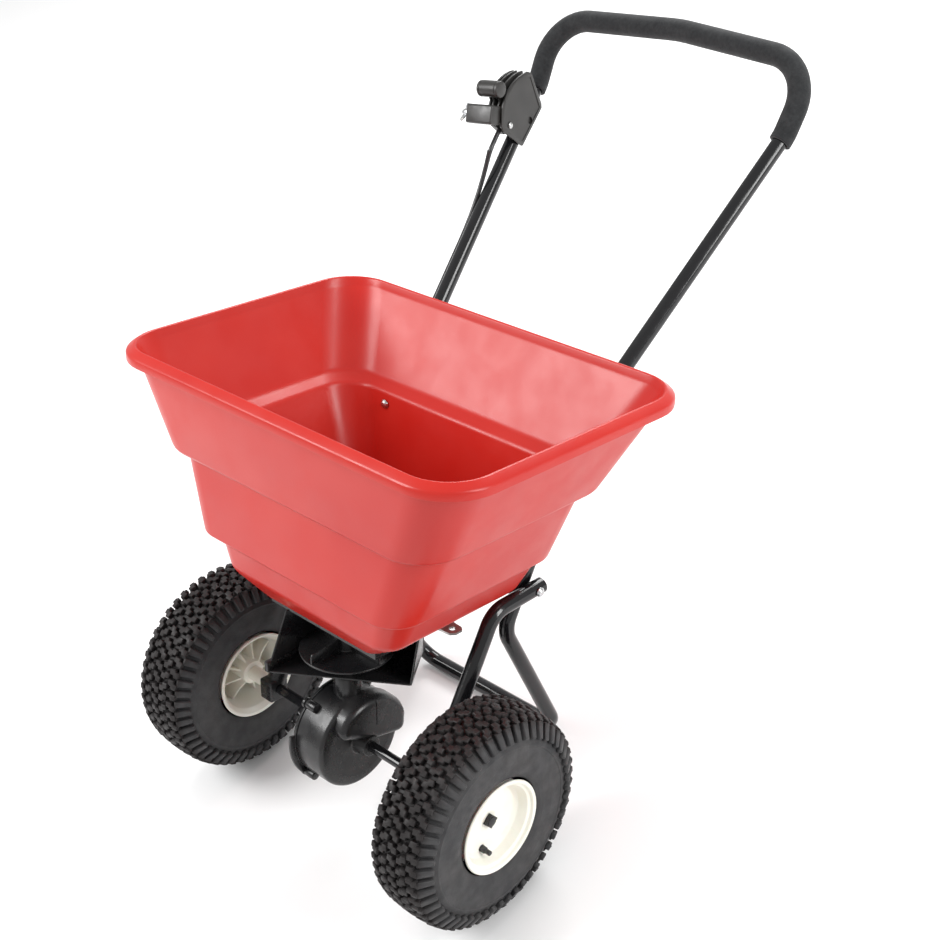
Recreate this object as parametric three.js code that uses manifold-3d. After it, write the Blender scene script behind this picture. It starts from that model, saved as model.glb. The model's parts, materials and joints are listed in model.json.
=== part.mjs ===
// Walk-behind broadcast garden spreader, millimetres, Z up.
// Everything is laid out with the hopper level and the axle on the X axis (X across, Y to the
// rear, Z up), then tipped back about the axle so the tyres and the stand stand on the ground.
import * as THREE from 'three';
import Module from 'manifold-3d';
import { mergeVertices } from 'three/addons/utils/BufferGeometryUtils.js';

const wasm = await Module();
wasm.setup();
const { Manifold, Mesh: WasmMesh } = wasm;

// ---------------------------------------------------------------- driving dimensions
const GAP = 0.3; // left between touching parts
const HOPPER_W = 551; // over the rim, side to side
const HOPPER_D = 384; // over the rim, front to back
const HOPPER_H = 286; // bottom plate to rim top
const HOPPER_Y = 75.7; // rim centre behind the axle
const HOPPER_Z = 168.6; // underside of the bottom plate above the axle
const WALL = 3.4;
const TYRE_R = 131;
const TYRE_W = 83;
const AXLE_R = 6.35;
const TUBE_R = 9.5; // frame and handle tube
const TUBE_WALL = 1.6;
const STRUT_X = HOPPER_W / 2 + TUBE_R - 145.5; // struts pass beside the hopper's narrow foot
const STAND_X = STRUT_X - 2 * TUBE_R - 1; // stand tube either side of the middle
const TRACK = 2 * (STRUT_X + 71); // between wheel mid-planes
const STAND_BAR_Y = 243.9;
const STAND_BAR_Z = -53;
const HANDLE_SLOPE = 47.5 * Math.PI / 180;
const HANDLE_RUN = 402; // straight handle tube, joint to the first bend
const HANDLE_SPREAD = 0.172; // sideways per unit of rise
const FOAM_R = 13.6;
const GEARBOX_R = 62;
const IMPELLER_R = 56;
const SHAFT_R = 4.75;
const SLIDE_TRAVEL = 26;
const LEAN = Math.asin((TYRE_R - TUBE_R) / Math.hypot(STAND_BAR_Y, STAND_BAR_Z))
  - Math.atan2(-STAND_BAR_Z, STAND_BAR_Y);

// hopper sections: half width, front, rear (fractions of half size), corner radius, height fraction
const SECTIONS = {
  plate: [0.345, -0.63, 0.18, 14, 0],
  foot: [0.51, -0.741, 0.39, 26, 0.112],
  lower: [0.57, -0.76, 0.512, 34, 0.252],
  step: [0.618, -0.842, 0.528, 38, 0.27],
  waist: [0.738, -0.82, 0.606, 46, 0.578],
  ledge: [0.795, -0.886, 0.688, 52, 0.605],
  mouth: [0.957, -0.941, 0.941, 57, 0.955],
};

// ---------------------------------------------------------------- geometry helpers
const V = (x, y, z) => new THREE.Vector3(x, y, z);

function surface(points, faces) {
  let volume = 0;
  for (const [a, b, c] of faces) {
    volume += points[a].dot(points[b].clone().cross(points[c])) / 6;
  }
  const out = [];
  for (const [a, b, c] of faces) {
    const order = volume < 0 ? [a, c, b] : [a, b, c];
    for (const i of order) out.push(points[i].x, points[i].y, points[i].z);
  }
  const geometry = new THREE.BufferGeometry();
  geometry.setAttribute('position', new THREE.Float32BufferAttribute(out, 3));
  geometry.computeVertexNormals();
  return geometry;
}

function loft(rings, looped) {
  const n = rings[0].length;
  const points = rings.flat();
  const faces = [];
  const last = looped ? rings.length : rings.length - 1;
  for (let i = 0; i < last; i++) {
    const a = i * n;
    const b = ((i + 1) % rings.length) * n;
    for (let j = 0; j < n; j++) {
      const k = (j + 1) % n;
      faces.push([a + j, a + k, b + k], [a + j, b + k, b + j]);
    }
  }
  if (!looped) {
    for (const [ring, flip] of [[0, true], [rings.length - 1, false]]) {
      const middle = V(0, 0, 0);
      for (const p of rings[ring]) middle.addScaledVector(p, 1 / n);
      const m = points.push(middle) - 1;
      for (let j = 0; j < n; j++) {
        const a = ring * n + j;
        const b = ring * n + (j + 1) % n;
        faces.push(flip ? [m, b, a] : [m, a, b]);
      }
    }
  }
  return surface(points, faces);
}

// polyline with each inner corner rounded: stops are [point, radius]
function bent(stops, steps = 4) {
  const path = [stops[0][0]];
  for (let i = 1; i < stops.length - 1; i++) {
    const [corner, radius] = stops[i];
    const back = stops[i - 1][0].clone().sub(corner).normalize();
    const on = stops[i + 1][0].clone().sub(corner).normalize();
    const half = back.angleTo(on) / 2;
    if (!radius || Math.PI / 2 - half < 0.02) {
      path.push(corner);
      continue;
    }
    const axis = back.clone().add(on).normalize();
    const centre = corner.clone().addScaledVector(axis, radius / Math.sin(half));
    const from = corner.clone().addScaledVector(back, radius / Math.tan(half)).sub(centre);
    const normal = back.clone().cross(on).normalize();
    const turn = -(Math.PI - 2 * half);
    for (let k = 0; k <= steps; k++) {
      path.push(from.clone().applyAxisAngle(normal, turn * k / steps).add(centre));
    }
  }
  path.push(stops[stops.length - 1][0]);
  return path;
}

function rings(path, radius, sides) {
  const out = [];
  let tangent = path[1].clone().sub(path[0]).normalize();
  let side = Math.abs(tangent.x) > 0.9 ? V(0, 0, 1) : V(1, 0, 0);
  side.addScaledVector(tangent, -side.dot(tangent)).normalize();
  for (let i = 0; i < path.length; i++) {
    const before = path[Math.max(i - 1, 0)];
    const after = path[Math.min(i + 1, path.length - 1)];
    const a = path[i].clone().sub(before).normalize();
    const b = after.clone().sub(path[i]).normalize();
    tangent = a.add(b).normalize();
    side = side.clone().addScaledVector(tangent, -side.dot(tangent)).normalize();
    const up = tangent.clone().cross(side);
    const ring = [];
    for (let k = 0; k < sides; k++) {
      const angle = 2 * Math.PI * k / sides;
      ring.push(path[i].clone()
        .addScaledVector(side, radius * Math.cos(angle))
        .addScaledVector(up, radius * Math.sin(angle)));
    }
    out.push(ring);
  }
  return out;
}

const rod = (path, radius, sides = 12) => loft(rings(path, radius, sides), false);

function pipe(path, outer, inner, sides = 12) {
  return loft([...rings(path, outer, sides), ...rings(path, inner, sides).reverse()], true);
}

// profile of [along X, radius] closed on itself, turned about the X axis, one flat to the ground
function turned(profile, sides, centre = 0, flip = 1) {
  const out = [];
  const corner = 1 / Math.cos(Math.PI / sides);
  for (let k = 0; k < sides; k++) {
    const angle = LEAN - Math.PI / 2 + 2 * Math.PI * (k + 0.5) / sides;
    const c = corner * Math.cos(angle);
    const d = corner * Math.sin(angle);
    out.push(profile.map(([x, r]) => V(centre + flip * x, r * c, r * d)));
  }
  return loft(out, true);
}

function box(x0, x1, y0, y1, z0, z1) {
  const geometry = new THREE.BoxGeometry(x1 - x0, y1 - y0, z1 - z0);
  return geometry.translate((x0 + x1) / 2, (y0 + y1) / 2, (z0 + z1) / 2);
}

function prism(outline, holes, depth) {
  const shape = new THREE.Shape(outline.map(([x, y]) => new THREE.Vector2(x, y)));
  for (const hole of holes) {
    shape.holes.push(new THREE.Path(hole.map(([x, y]) => new THREE.Vector2(x, y))));
  }
  return new THREE.ExtrudeGeometry(shape, { depth, bevelEnabled: false });
}

function disc(x, y, radius, sides = 20, from = 0, to = 2 * Math.PI) {
  const out = [];
  const count = to - from > 6.28 ? sides : sides + 1;
  for (let k = 0; k < count; k++) {
    const angle = from + (to - from) * k / sides;
    out.push([x + radius * Math.cos(angle), y + radius * Math.sin(angle)]);
  }
  return out;
}

function slab(outline, holes, z0, z1) {
  return prism(outline, holes, z1 - z0).translate(0, 0, z0);
}

// an outline drawn in Y,Z and given thickness along X
function cheek(outline, holes, x0, x1) {
  const turn = new THREE.Matrix4().makeBasis(V(0, 1, 0), V(0, 0, 1), V(1, 0, 0));
  return prism(outline, holes, x1 - x0).applyMatrix4(turn).translate(x0, 0, 0);
}

function toSolid(geometry) {
  const bare = new THREE.BufferGeometry();
  const flat = geometry.index ? geometry.toNonIndexed() : geometry;
  bare.setAttribute('position', flat.attributes.position);
  const merged = mergeVertices(bare, 1e-4);
  const mesh = new WasmMesh({
    numProp: 3,
    vertProperties: new Float32Array(merged.attributes.position.array),
    triVerts: new Uint32Array(merged.index.array),
  });
  mesh.merge();
  return new Manifold(mesh);
}

function fromSolid(solid) {
  const mesh = solid.getMesh();
  const points = [];
  for (let i = 0; i < mesh.vertProperties.length; i += mesh.numProp) {
    points.push(V(mesh.vertProperties[i], mesh.vertProperties[i + 1], mesh.vertProperties[i + 2]));
  }
  const faces = [];
  for (let i = 0; i < mesh.triVerts.length; i += 3) {
    faces.push([mesh.triVerts[i], mesh.triVerts[i + 1], mesh.triVerts[i + 2]]);
  }
  return surface(points, faces);
}

const join = (...parts) => fromSolid(parts.map(toSolid).reduce((a, b) => a.add(b)));
const cut = (base, ...tools) => {
  return fromSolid(tools.map(toSolid).reduce((a, b) => a.subtract(b), toSolid(base)));
};

// ---------------------------------------------------------------- the list of parts
const parts = [];
const PAINT = [0x101112, 0.35, 0.5];
const PLASTIC = [0x17181a, 0.55, 0];
const STEEL = [0x9a9da1, 0.35, 0.9];
const CREAM = [0xe4dcc4, 0.45, 0];
const RUBBER = [0x161616, 0.85, 0];
const RED = [0xc4271c, 0.3, 0];
const FOAM = [0x2a2b2d, 0.95, 0];

function add(name, geometry, [color, roughness, metalness]) {
  parts.push([name, geometry, new THREE.MeshStandardMaterial({ color, roughness, metalness })]);
}

// ---------------------------------------------------------------- hopper
function section(name, inset = 0, lift = 0) {
  const [w, front, rear, corner, rise] = SECTIONS[name];
  return {
    hx: w * HOPPER_W / 2 - inset,
    yf: HOPPER_Y + front * HOPPER_D / 2 + inset,
    yr: HOPPER_Y + rear * HOPPER_D / 2 - inset,
    rc: Math.max(corner - inset, 4),
    z: HOPPER_Z + rise * HOPPER_H + lift,
  };
}

function hopperRing({ hx, yf, yr, rc, z }, steps = 6) {
  const ring = [];
  const corners = [[hx, yr, 0], [-hx, yr, 1], [-hx, yf, 2], [hx, yf, 3]];
  for (const [x, y, q] of corners) {
    const cx = x - Math.sign(x) * rc;
    const cy = y - (y === yr ? rc : -rc);
    for (let k = 0; k <= steps; k++) {
      const angle = Math.PI / 2 * (q + k / steps);
      ring.push(V(cx + rc * Math.cos(angle), cy + rc * Math.sin(angle), z));
    }
  }
  return ring;
}

function rimRing(inset, drop) {
  return hopperRing({
    hx: HOPPER_W / 2 - inset,
    yf: HOPPER_Y - HOPPER_D / 2 + inset,
    yr: HOPPER_Y + HOPPER_D / 2 - inset,
    rc: 64 - inset,
    z: HOPPER_Z + HOPPER_H - drop,
  });
}

const RIM_TOP = HOPPER_Z + HOPPER_H;
const LIFTS = { lower: 2.6, step: 2.6, waist: 12, ledge: 13 }; // inside of each step, above the outside
const PORTS = [[-25, 36], [0, 44], [25, 36]];
const PORT_R = 9.5;
const LEDGE = section('ledge');
const STEP = section('step');
const FOOT = section('foot');
const PLATE = section('plate');

function hopperShell() {
  const outside = ['plate', 'foot', 'lower', 'step', 'waist', 'ledge', 'mouth'];
  const shell = [];
  shell.push(hopperRing({ ...section('plate', 4), z: HOPPER_Z }));
  shell.push(hopperRing(section('plate', 0, 2)));
  for (const name of outside.slice(1)) shell.push(hopperRing(section(name)));
  for (const [inset, drop] of [[10, 6.5], [4, 6], [2.4, 16], [0, 16], [0, 5], [1.5, 3], [7, 0.6], [10, 0]]) {
    shell.push(rimRing(inset, drop));
  }
  shell.push(rimRing(13, 1.4));
  shell.push(hopperRing(section('mouth', WALL, 3)));
  for (const name of ['ledge', 'waist', 'step', 'lower']) {
    shell.push(hopperRing(section(name, WALL, LIFTS[name])));
  }
  shell.push(hopperRing(section('foot', WALL + 2, 2.4)));
  shell.push(hopperRing(section('plate', 4, 4.2)));
  return loft(shell, false);
}

const BOLT_Z = section('waist').z - 3;

function tubeYAt(z) {
  const t = (z - V2.z) / (V1.z - V2.z);
  return V2.y + (V1.y - V2.y) * t;
}

// ---------------------------------------------------------------- frame lines
const V1 = V(STAND_X + 14.5, LEDGE.yr + TUBE_R + 1.5, LEDGE.z + 3.5);
const V2 = V(STAND_X, STEP.yr + TUBE_R + 8.5, STEP.z);
const V4 = V(STAND_X, STEP.yr - 38, STEP.z - 110);
const CORNER = V(STAND_X, STAND_BAR_Y, STAND_BAR_Z);
const DOWN = Math.cos(HANDLE_SLOPE) / Math.sin(HANDLE_SLOPE);
const HANDLE_DIR = V(HANDLE_SPREAD, DOWN, 1).normalize();
const JOINT = V1.clone().addScaledVector(HANDLE_DIR, 40);
const FLARE = JOINT.clone().addScaledVector(HANDLE_DIR, HANDLE_RUN);
const TOP_CORNER = FLARE.clone().add(V(7, 38, 78));
const TOP_MIDDLE = V(0, TOP_CORNER.y + 5, TOP_CORNER.z + 11);
const mirrored = (p) => V(-p.x, p.y, p.z);

function standFrame() {
  const side = [[JOINT, 0], [V1, 45], [V2, 90], [V4, 34], [CORNER, 30]];
  const other = side.slice().reverse().map(([p, r]) => [mirrored(p), r]);
  const tube = pipe(bent([...side, ...other], 3), TUBE_R, TUBE_R - TUBE_WALL, 10);
  const holes = [];
  for (const s of [1, -1]) {
    const x = s * boltX();
    const y = tubeYAt(BOLT_Z);
    holes.push(rod([V(x, y - 20, BOLT_Z), V(x, y + 20, BOLT_Z)], 3.3, 12));
    const inner = V(s * (STAND_X - 20), STRUT_PIN.y, STRUT_PIN.z);
    const outer = V(s * (STAND_X + 20), STRUT_PIN.y, STRUT_PIN.z);
    holes.push(rod([inner, outer], 3.3, 12));
  }
  return cut(tube, ...holes);
}

const boltX = () => V2.x + (V1.x - V2.x) * (BOLT_Z - V2.z) / (V1.z - V2.z);
const PIN_Z = FOOT.z - TUBE_R - 2.5;
const PIN_DROP = PIN_Z - V4.z;
const STRUT_PIN = V(0, V4.y + PIN_DROP * (V2.y - V4.y) / (V2.z - V4.z), PIN_Z);
const STRUT_TOP = V(STRUT_X, 98, STRUT_PIN.z - 3);
const STRUT_DIR = V(0, STRUT_TOP.y, STRUT_TOP.z).normalize();

function strut(s) {
  const foot = STRUT_DIR.clone().multiplyScalar(15).setX(s * STRUT_X);
  const stops = [[foot, 0], [V(s * STRUT_X, STRUT_TOP.y, STRUT_TOP.z), 30],
    [V(s * STRUT_X, STRUT_PIN.y + 13, STRUT_PIN.z + 0.5), 0]];
  const tube = pipe(bent(stops), TUBE_R, TUBE_R - TUBE_WALL);
  const hole = rod([V(s * (STRUT_X - 20), STRUT_PIN.y, STRUT_PIN.z),
    V(s * (STRUT_X + 20), STRUT_PIN.y, STRUT_PIN.z)], 3.3, 12);
  return cut(tube, hole);
}

function handleTube() {
  const start = JOINT.clone().addScaledVector(HANDLE_DIR, 0.5);
  const side = [[start, 0], [FLARE, 55], [TOP_CORNER, 56]];
  const other = side.slice().reverse().map(([p, r]) => [mirrored(p), r]);
  return pipe(bent([...side, [TOP_MIDDLE, 200], ...other]), TUBE_R, TUBE_R - TUBE_WALL, 10);
}

function foamGrip() {
  const start = FLARE.clone().addScaledVector(HANDLE_DIR, -9);
  const side = [[start, 0], [FLARE, 55], [TOP_CORNER, 56]];
  const other = side.slice().reverse().map(([p, r]) => [mirrored(p), r]);
  const path = bent([...side, [TOP_MIDDLE, 200], ...other]);
  return pipe(path, FOAM_R, TUBE_R + 1, 10);
}

function coupler(s) {
  const a = JOINT.clone().addScaledVector(HANDLE_DIR, -22);
  const b = JOINT.clone().addScaledVector(HANDLE_DIR, 60);
  const path = [a, b].map((p) => V(s * p.x, p.y, p.z));
  return pipe(path, TUBE_R - TUBE_WALL - 0.8, 5.4, 14);
}

// a bolt: domed or flat head, then shank, along dir from the seat
function bolt(seat, dir, head, headHigh, shank, length, sides = 12) {
  const d = dir.clone().normalize();
  const path = (a, b) => [seat.clone().addScaledVector(d, a), seat.clone().addScaledVector(d, b)];
  return join(rod(path(-headHigh, 0), head, sides), rod(path(-0.5, length), shank, sides));
}

function nut(seat, dir, radius, high, bore) {
  const d = dir.clone().normalize();
  const path = [seat, seat.clone().addScaledVector(d, high)];
  return pipe(path, radius, bore / Math.cos(Math.PI / 6), 6);
}

// ---------------------------------------------------------------- under the hopper
const BASE_Z = HOPPER_Z - 8.6;
const BASE_X = PLATE.hx - 6;
const TAIL_X = -58;
const FLOOR_Z = 88.5;
const IMPELLER_Z = FLOOR_Z + 30;

function hopperNode() {
  const tools = [rod([V(0, 0, HOPPER_Z - 5), V(0, 0, HOPPER_Z + 12)], SHAFT_R + 0.8, 16)];
  for (const [x, y] of PORTS) {
    tools.push(rod([V(x, y, HOPPER_Z - 5), V(x, y, HOPPER_Z + 12)], PORT_R, 16));
  }
  for (const s of [1, -1]) {
    const x = s * boltX();
    tools.push(rod([V(x, 120, BOLT_Z), V(x, 260, BOLT_Z)], 3.4, 12));
  }
  return cut(hopperShell(), ...tools);
}

function basePlate() {
  const plate = box(-BASE_X, BASE_X, PLATE.yf + 8, PLATE.yr, BASE_Z, HOPPER_Z - GAP);
  const channel = box(-47, 47, PLATE.yf, PLATE.yr + 20, BASE_Z + 4.2, HOPPER_Z + 5);
  const ear = box(-10, BASE_X + 20, 14, PLATE.yr + 20, BASE_Z + 4.2, HOPPER_Z + 5);
  const tailFront = PLATE.yr - 40 - SLIDE_TRAVEL;
  const tailWay = box(TAIL_X - 14, 0, tailFront, PLATE.yr + 20, BASE_Z + 4.2, HOPPER_Z + 5);
  const mouth = [[-38, 26], [38, 26], [38, 52], [-38, 52]];
  const opening = slab(mouth, [], BASE_Z - 5, HOPPER_Z);
  const shaft = rod([V(0, 0, BASE_Z - 5), V(0, 0, HOPPER_Z + 5)], SHAFT_R + 0.8, 16);
  const arm = box(TAIL_X - 9, TAIL_X + 9, PLATE.yr - 20, PLATE.yr + 96, BASE_Z, BASE_Z + 3.4);
  const lug = box(TAIL_X - 9, TAIL_X + 9, PLATE.yr + 92, PLATE.yr + 96, BASE_Z + 1, BASE_Z + 16);
  const eye = rod([V(TAIL_X, PLATE.yr + 80, WIRE_Z), V(TAIL_X, PLATE.yr + 110, WIRE_Z)], 3.4, 14);
  const holes = baseScrews().map(([x, y]) => rod([V(x, y, BASE_Z - 5), V(x, y, HOPPER_Z + 5)], 2.4, 10));
  return cut(join(cut(plate, channel, ear, tailWay), arm, lug), opening, shaft, eye, ...holes);
}

const WIRE_Z = BASE_Z + 10.1;
const baseScrews = () => [[BASE_X - 12, -26], [-BASE_X + 12, -26]];

function slidePlate() {
  const z0 = BASE_Z + 4.5;
  const body = box(-46.5, 46.5, PLATE.yf + 30, PLATE.yr - 12, z0, z0 + 2.6);
  const ear = slab([[40, 46], [BASE_X + 26, 52], [BASE_X + 31, 58], [BASE_X + 31, 68],
    [BASE_X + 26, 72], [40, 78]], [disc(BASE_X + 21, 62, 4, 12)], z0, z0 + 2.6);
  const tail = box(TAIL_X - 8, TAIL_X + 14, PLATE.yr - 36, PLATE.yr + HOOK, z0, z0 + 2.6);
  const hook = box(TAIL_X - 6, TAIL_X + 6, PLATE.yr + HOOK - 4, PLATE.yr + HOOK, z0, z0 + 8.2);
  const eye = rod([V(TAIL_X, PLATE.yr + HOOK - 14, WIRE_Z), V(TAIL_X, PLATE.yr + HOOK + 16, WIRE_Z)],
    1.55, 10);
  const tools = [eye];
  for (const [x, y] of PORTS) {
    tools.push(rod([V(x, y, z0 - 3), V(x, y, z0 + 6)], PORT_R, 16));
  }
  const slot = [...disc(0, SLIDE_TRAVEL + 1, SHAFT_R + 1, 8, 0, Math.PI),
    ...disc(0, -1, SHAFT_R + 1, 8, Math.PI, 2 * Math.PI)];
  tools.push(slab(slot, [], z0 - 3, z0 + 6));
  return cut(join(body, ear, tail, hook), ...tools);
}

const CASING_END = PLATE.yr + 97;
const HOOK = 50; // end of the slide's tail behind the plate

function pullWire() {
  const from = V(TAIL_X, PLATE.yr + HOOK - 10, WIRE_Z);
  const stopA = V(TAIL_X, PLATE.yr + HOOK - 7.5, WIRE_Z);
  const stopB = V(TAIL_X, PLATE.yr + HOOK - 4.6, WIRE_Z);
  const to = V(TAIL_X, CASING_END + SLIDE_TRAVEL + 4, WIRE_Z);
  return join(rod([from, to], 1.2, 10), rod([stopA, stopB], 2.6, 10));
}

function cablePath() {
  const start = consolePoint(-7, 34, 2);
  const hug = (d, side) => mirrored(JOINT).addScaledVector(mirrored(HANDLE_DIR), d)
    .addScaledVector(side, 2 * TUBE_R - 2.1);
  const outside = V(-0.95, 0.22, -0.2);
  const behind = V(-0.2, 0.72, -0.66);
  return bent([
    [start, 0], [start.clone().add(mirrored(HANDLE_DIR).multiplyScalar(-34)), 30],
    [hug(230, outside), 160], [hug(75, outside), 60], [hug(5, behind), 60],
    [V(TAIL_X, CASING_END + 62, WIRE_Z + 110), 60], [V(TAIL_X, CASING_END + 62, WIRE_Z), 30],
    [V(TAIL_X, CASING_END - 0.6, WIRE_Z), 0]], 4);
}

function cableCasing() {
  const path = cablePath();
  const end = path[path.length - 1];
  const casing = pipe(path, 3, 1.6, 6);
  const ferrule = pipe([end, V(end.x, end.y + 14, end.z)], 4.6, 1.6, 6);
  return join(casing, ferrule);
}

// ---------------------------------------------------------------- deflector, impeller, agitator
const TRAY = { left: -62, right: 77, front: -71, mid: 30, rear: 92, back: 33 };

// a plate between four corners, its thickness across them
function panel(corners, thick) {
  const normal = corners[1].clone().sub(corners[0]).cross(corners[3].clone().sub(corners[0])).normalize();
  return loft([corners, corners.map((p) => p.clone().addScaledVector(normal, thick))], false);
}

function deflector() {
  const t = 2.4;
  const top = BASE_Z - GAP;
  const { left, right, front, mid, rear, back } = TRAY;
  const rise = top - FLOOR_Z;
  const floor = slab([[left, front], [right, mid], [back, rear], [left, rear]], [disc(0, 0, 9, 18)],
    FLOOR_Z, FLOOR_Z + t);
  const leftWall = cheek([[front, FLOOR_Z], [rear, FLOOR_Z], [rear, top], [front + 0.44 * rise, top]], [],
    left, left + t);
  const rightWall = panel([V(right, mid, FLOOR_Z), V(back, rear, FLOOR_Z), V(back, rear, top),
    V(right + 11, mid + 2, top)], t);
  const rearWall = box(left, back + 1.5, rear - t, rear, FLOOR_Z, top);
  const lip = box(left - 4, left + t, front, rear - 20, FLOOR_Z, FLOOR_Z + 14);
  const sideTab = box(left - 14, left + 1, -12, 30, top - t, top);
  const rearTab = box(-20, 20, rear - 1, rear + 12, top - t, top);
  return join(floor, leftWall, rightWall, rearWall, lip, sideTab, rearTab);
}

function impeller() {
  const z = IMPELLER_Z;
  const plate = rod([V(0, 0, z), V(0, 0, z + 2.4)], IMPELLER_R, 40);
  const hub = rod([V(0, 0, z - 8), V(0, 0, z + 20)], 12, 20);
  const fins = [];
  for (let k = 0; k < 4; k++) {
    const fin = box(9, IMPELLER_R - 1, -1.2, 1.2, z + 1, z + 18);
    fin.applyMatrix4(new THREE.Matrix4().makeRotationZ(k * Math.PI / 2));
    fins.push(fin);
  }
  const bore = rod([V(0, 0, z - 20), V(0, 0, z + 30)], SHAFT_R + 0.3, 16);
  return cut(join(plate, hub, ...fins), bore);
}

const SHAFT_LOW = 26;
const SHAFT_HIGH = HOPPER_Z + 46;

function agitator() {
  const z = SHAFT_HIGH - 16;
  const collar = pipe([V(0, 0, z), V(0, 0, z + 12)], 9, SHAFT_R + 0.15, 16);
  const arms = [];
  for (const s of [1, -1]) {
    const stops = [[V(s * 7.2, 0, z + 6), 0], [V(s * 34, 0, z + 6), 9], [V(s * 46, s * 6, z - 12), 0]];
    arms.push(rod(bent(stops, 4), 2.4, 10));
  }
  return join(collar, ...arms);
}

// ---------------------------------------------------------------- gearbox
function teeth(count, inner, outer, from, to, phase) {
  const out = [];
  const half = Math.PI / count * 0.42;
  for (let k = 0; k < count; k++) {
    const a = phase + 2 * Math.PI * k / count;
    const ring = (x) => [[inner, -half], [outer, -half * 0.8], [outer, half * 0.8], [inner, half]]
      .map(([r, d]) => V(x, r * Math.cos(a + d), r * Math.sin(a + d)));
    out.push(loft([ring(from), ring(to)], false));
  }
  return out;
}

const CROWN_TEETH = 24;
const PINION_TEETH = 6;
const CROWN_R = GEARBOX_R - 22;
const PINION_R = CROWN_R * PINION_TEETH / CROWN_TEETH;

function crownGear() {
  const x = -(PINION_R + 2.6);
  const web = pipe([V(x - 4, 0, 0), V(x, 0, 0)], CROWN_R + 5, AXLE_R + 0.15, 24);
  const hub = pipe([V(x - 8, 0, 0), V(x + 4, 0, 0)], 14, AXLE_R + 0.15, 20);
  return join(web, hub, ...teeth(CROWN_TEETH, CROWN_R - 4, CROWN_R + 4.5, x - 0.5, x + 3.4,
    Math.PI / 2));
}

function pinion() {
  const outline = [];
  for (let k = 0; k < PINION_TEETH; k++) {
    const a = Math.PI + (k + 0.5) * 2 * Math.PI / PINION_TEETH;
    const tooth = [[-2, -0.19], [1.2, -0.1], [1.2, 0.1], [-2, 0.19]].map(([r, d]) => [PINION_R + r, d]);
    for (const [r, d] of tooth) {
      outline.push([r * Math.cos(a + d), r * Math.sin(a + d)]);
    }
  }
  return slab(outline, [disc(0, 0, SHAFT_R + 0.15, 16)], CROWN_R - 8, CROWN_R + 9);
}

const CASE_X = [-24, 22];

function gearboxCase() {
  const shell = rod([V(CASE_X[0], 0, 0), V(CASE_X[1], 0, 0)], GEARBOX_R, 36);
  const neck = rod([V(0, 0, 20), V(0, 0, FLOOR_Z - 3)], 17, 24);
  const dome = (r, x) => cheek(disc(4, 5, r, 12, 0.05, Math.PI * 0.8), [], CASE_X[1] - 6, CASE_X[1] + x);
  const lobe = join(dome(GEARBOX_R - 5, 10), dome(GEARBOX_R - 12, 17));
  const boss = rod([V(CASE_X[1] - 3, 0, 0), V(CASE_X[1] + 19, 0, 0)], 13, 20);
  const ears = screwSpots().map(([y, z]) => rod([V(CASE_X[0], y, z), V(CASE_X[0] + 16, y, z)], 6, 12));
  const cavity = rod([V(CASE_X[0] - 5, 0, 0), V(CASE_X[1] - 4, 0, 0)], GEARBOX_R - 4, 32);
  const bore = rod([V(-60, 0, 0), V(90, 0, 0)], AXLE_R + 0.4, 20);
  const well = rod([V(0, 0, 30), V(0, 0, FLOOR_Z + 9)], SHAFT_R + 0.4, 16);
  const holes = screwSpots().map(([y, z]) => rod([V(CASE_X[0] - 3, y, z), V(CASE_X[0] + 12, y, z)], 2.2, 10));
  const outer = cut(join(shell, neck, lobe, boss, ...ears), cavity, bore);
  return cut(outer, well, ...holes);
}

const screwSpots = () => [50, 130, 224, 318].map((d) => {
  const a = d * Math.PI / 180;
  return [(GEARBOX_R + 2) * Math.cos(a), (GEARBOX_R + 2) * Math.sin(a)];
});

function gearboxCover() {
  const x = CASE_X[0] - GAP;
  const round = rod([V(x - 5, 0, 0), V(x, 0, 0)], GEARBOX_R + 0.5, 36);
  const bulge = cheek([...disc(0, 0, GEARBOX_R + 7.5, 8, 2.95, 3.95), [0, 0]], [], x - 5, x);
  const plate = join(round, bulge);
  const boss = rod([V(x - 18, 0, 0), V(x - 3, 0, 0)], 13, 20);
  const ears = screwSpots().map(([y, z]) => rod([V(x - 5, y, z), V(x, y, z)], 6.5, 12));
  const bore = rod([V(-80, 0, 0), V(90, 0, 0)], AXLE_R + 0.4, 20);
  const holes = screwSpots().map(([y, z]) => rod([V(x - 12, y, z), V(x + 3, y, z)], 2.2, 10));
  return cut(join(plate, boss, ...ears), bore, ...holes);
}

// ---------------------------------------------------------------- axle and wheels
const HUB_OUT = 20;
const HUB_IN = -30;
const RIM_R = TYRE_R * 0.438;
const AXLE_END = TRACK / 2 + HUB_OUT + 6.5;
const PIN_X = TRACK / 2 + HUB_IN + 8;

function axle() {
  const bar = rod([V(-AXLE_END, 0, 0), V(AXLE_END, 0, 0)], AXLE_R, 20);
  return cut(bar, rod([V(PIN_X, 0, -30), V(PIN_X, 0, 30)], 2.6, 12));
}

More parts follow.
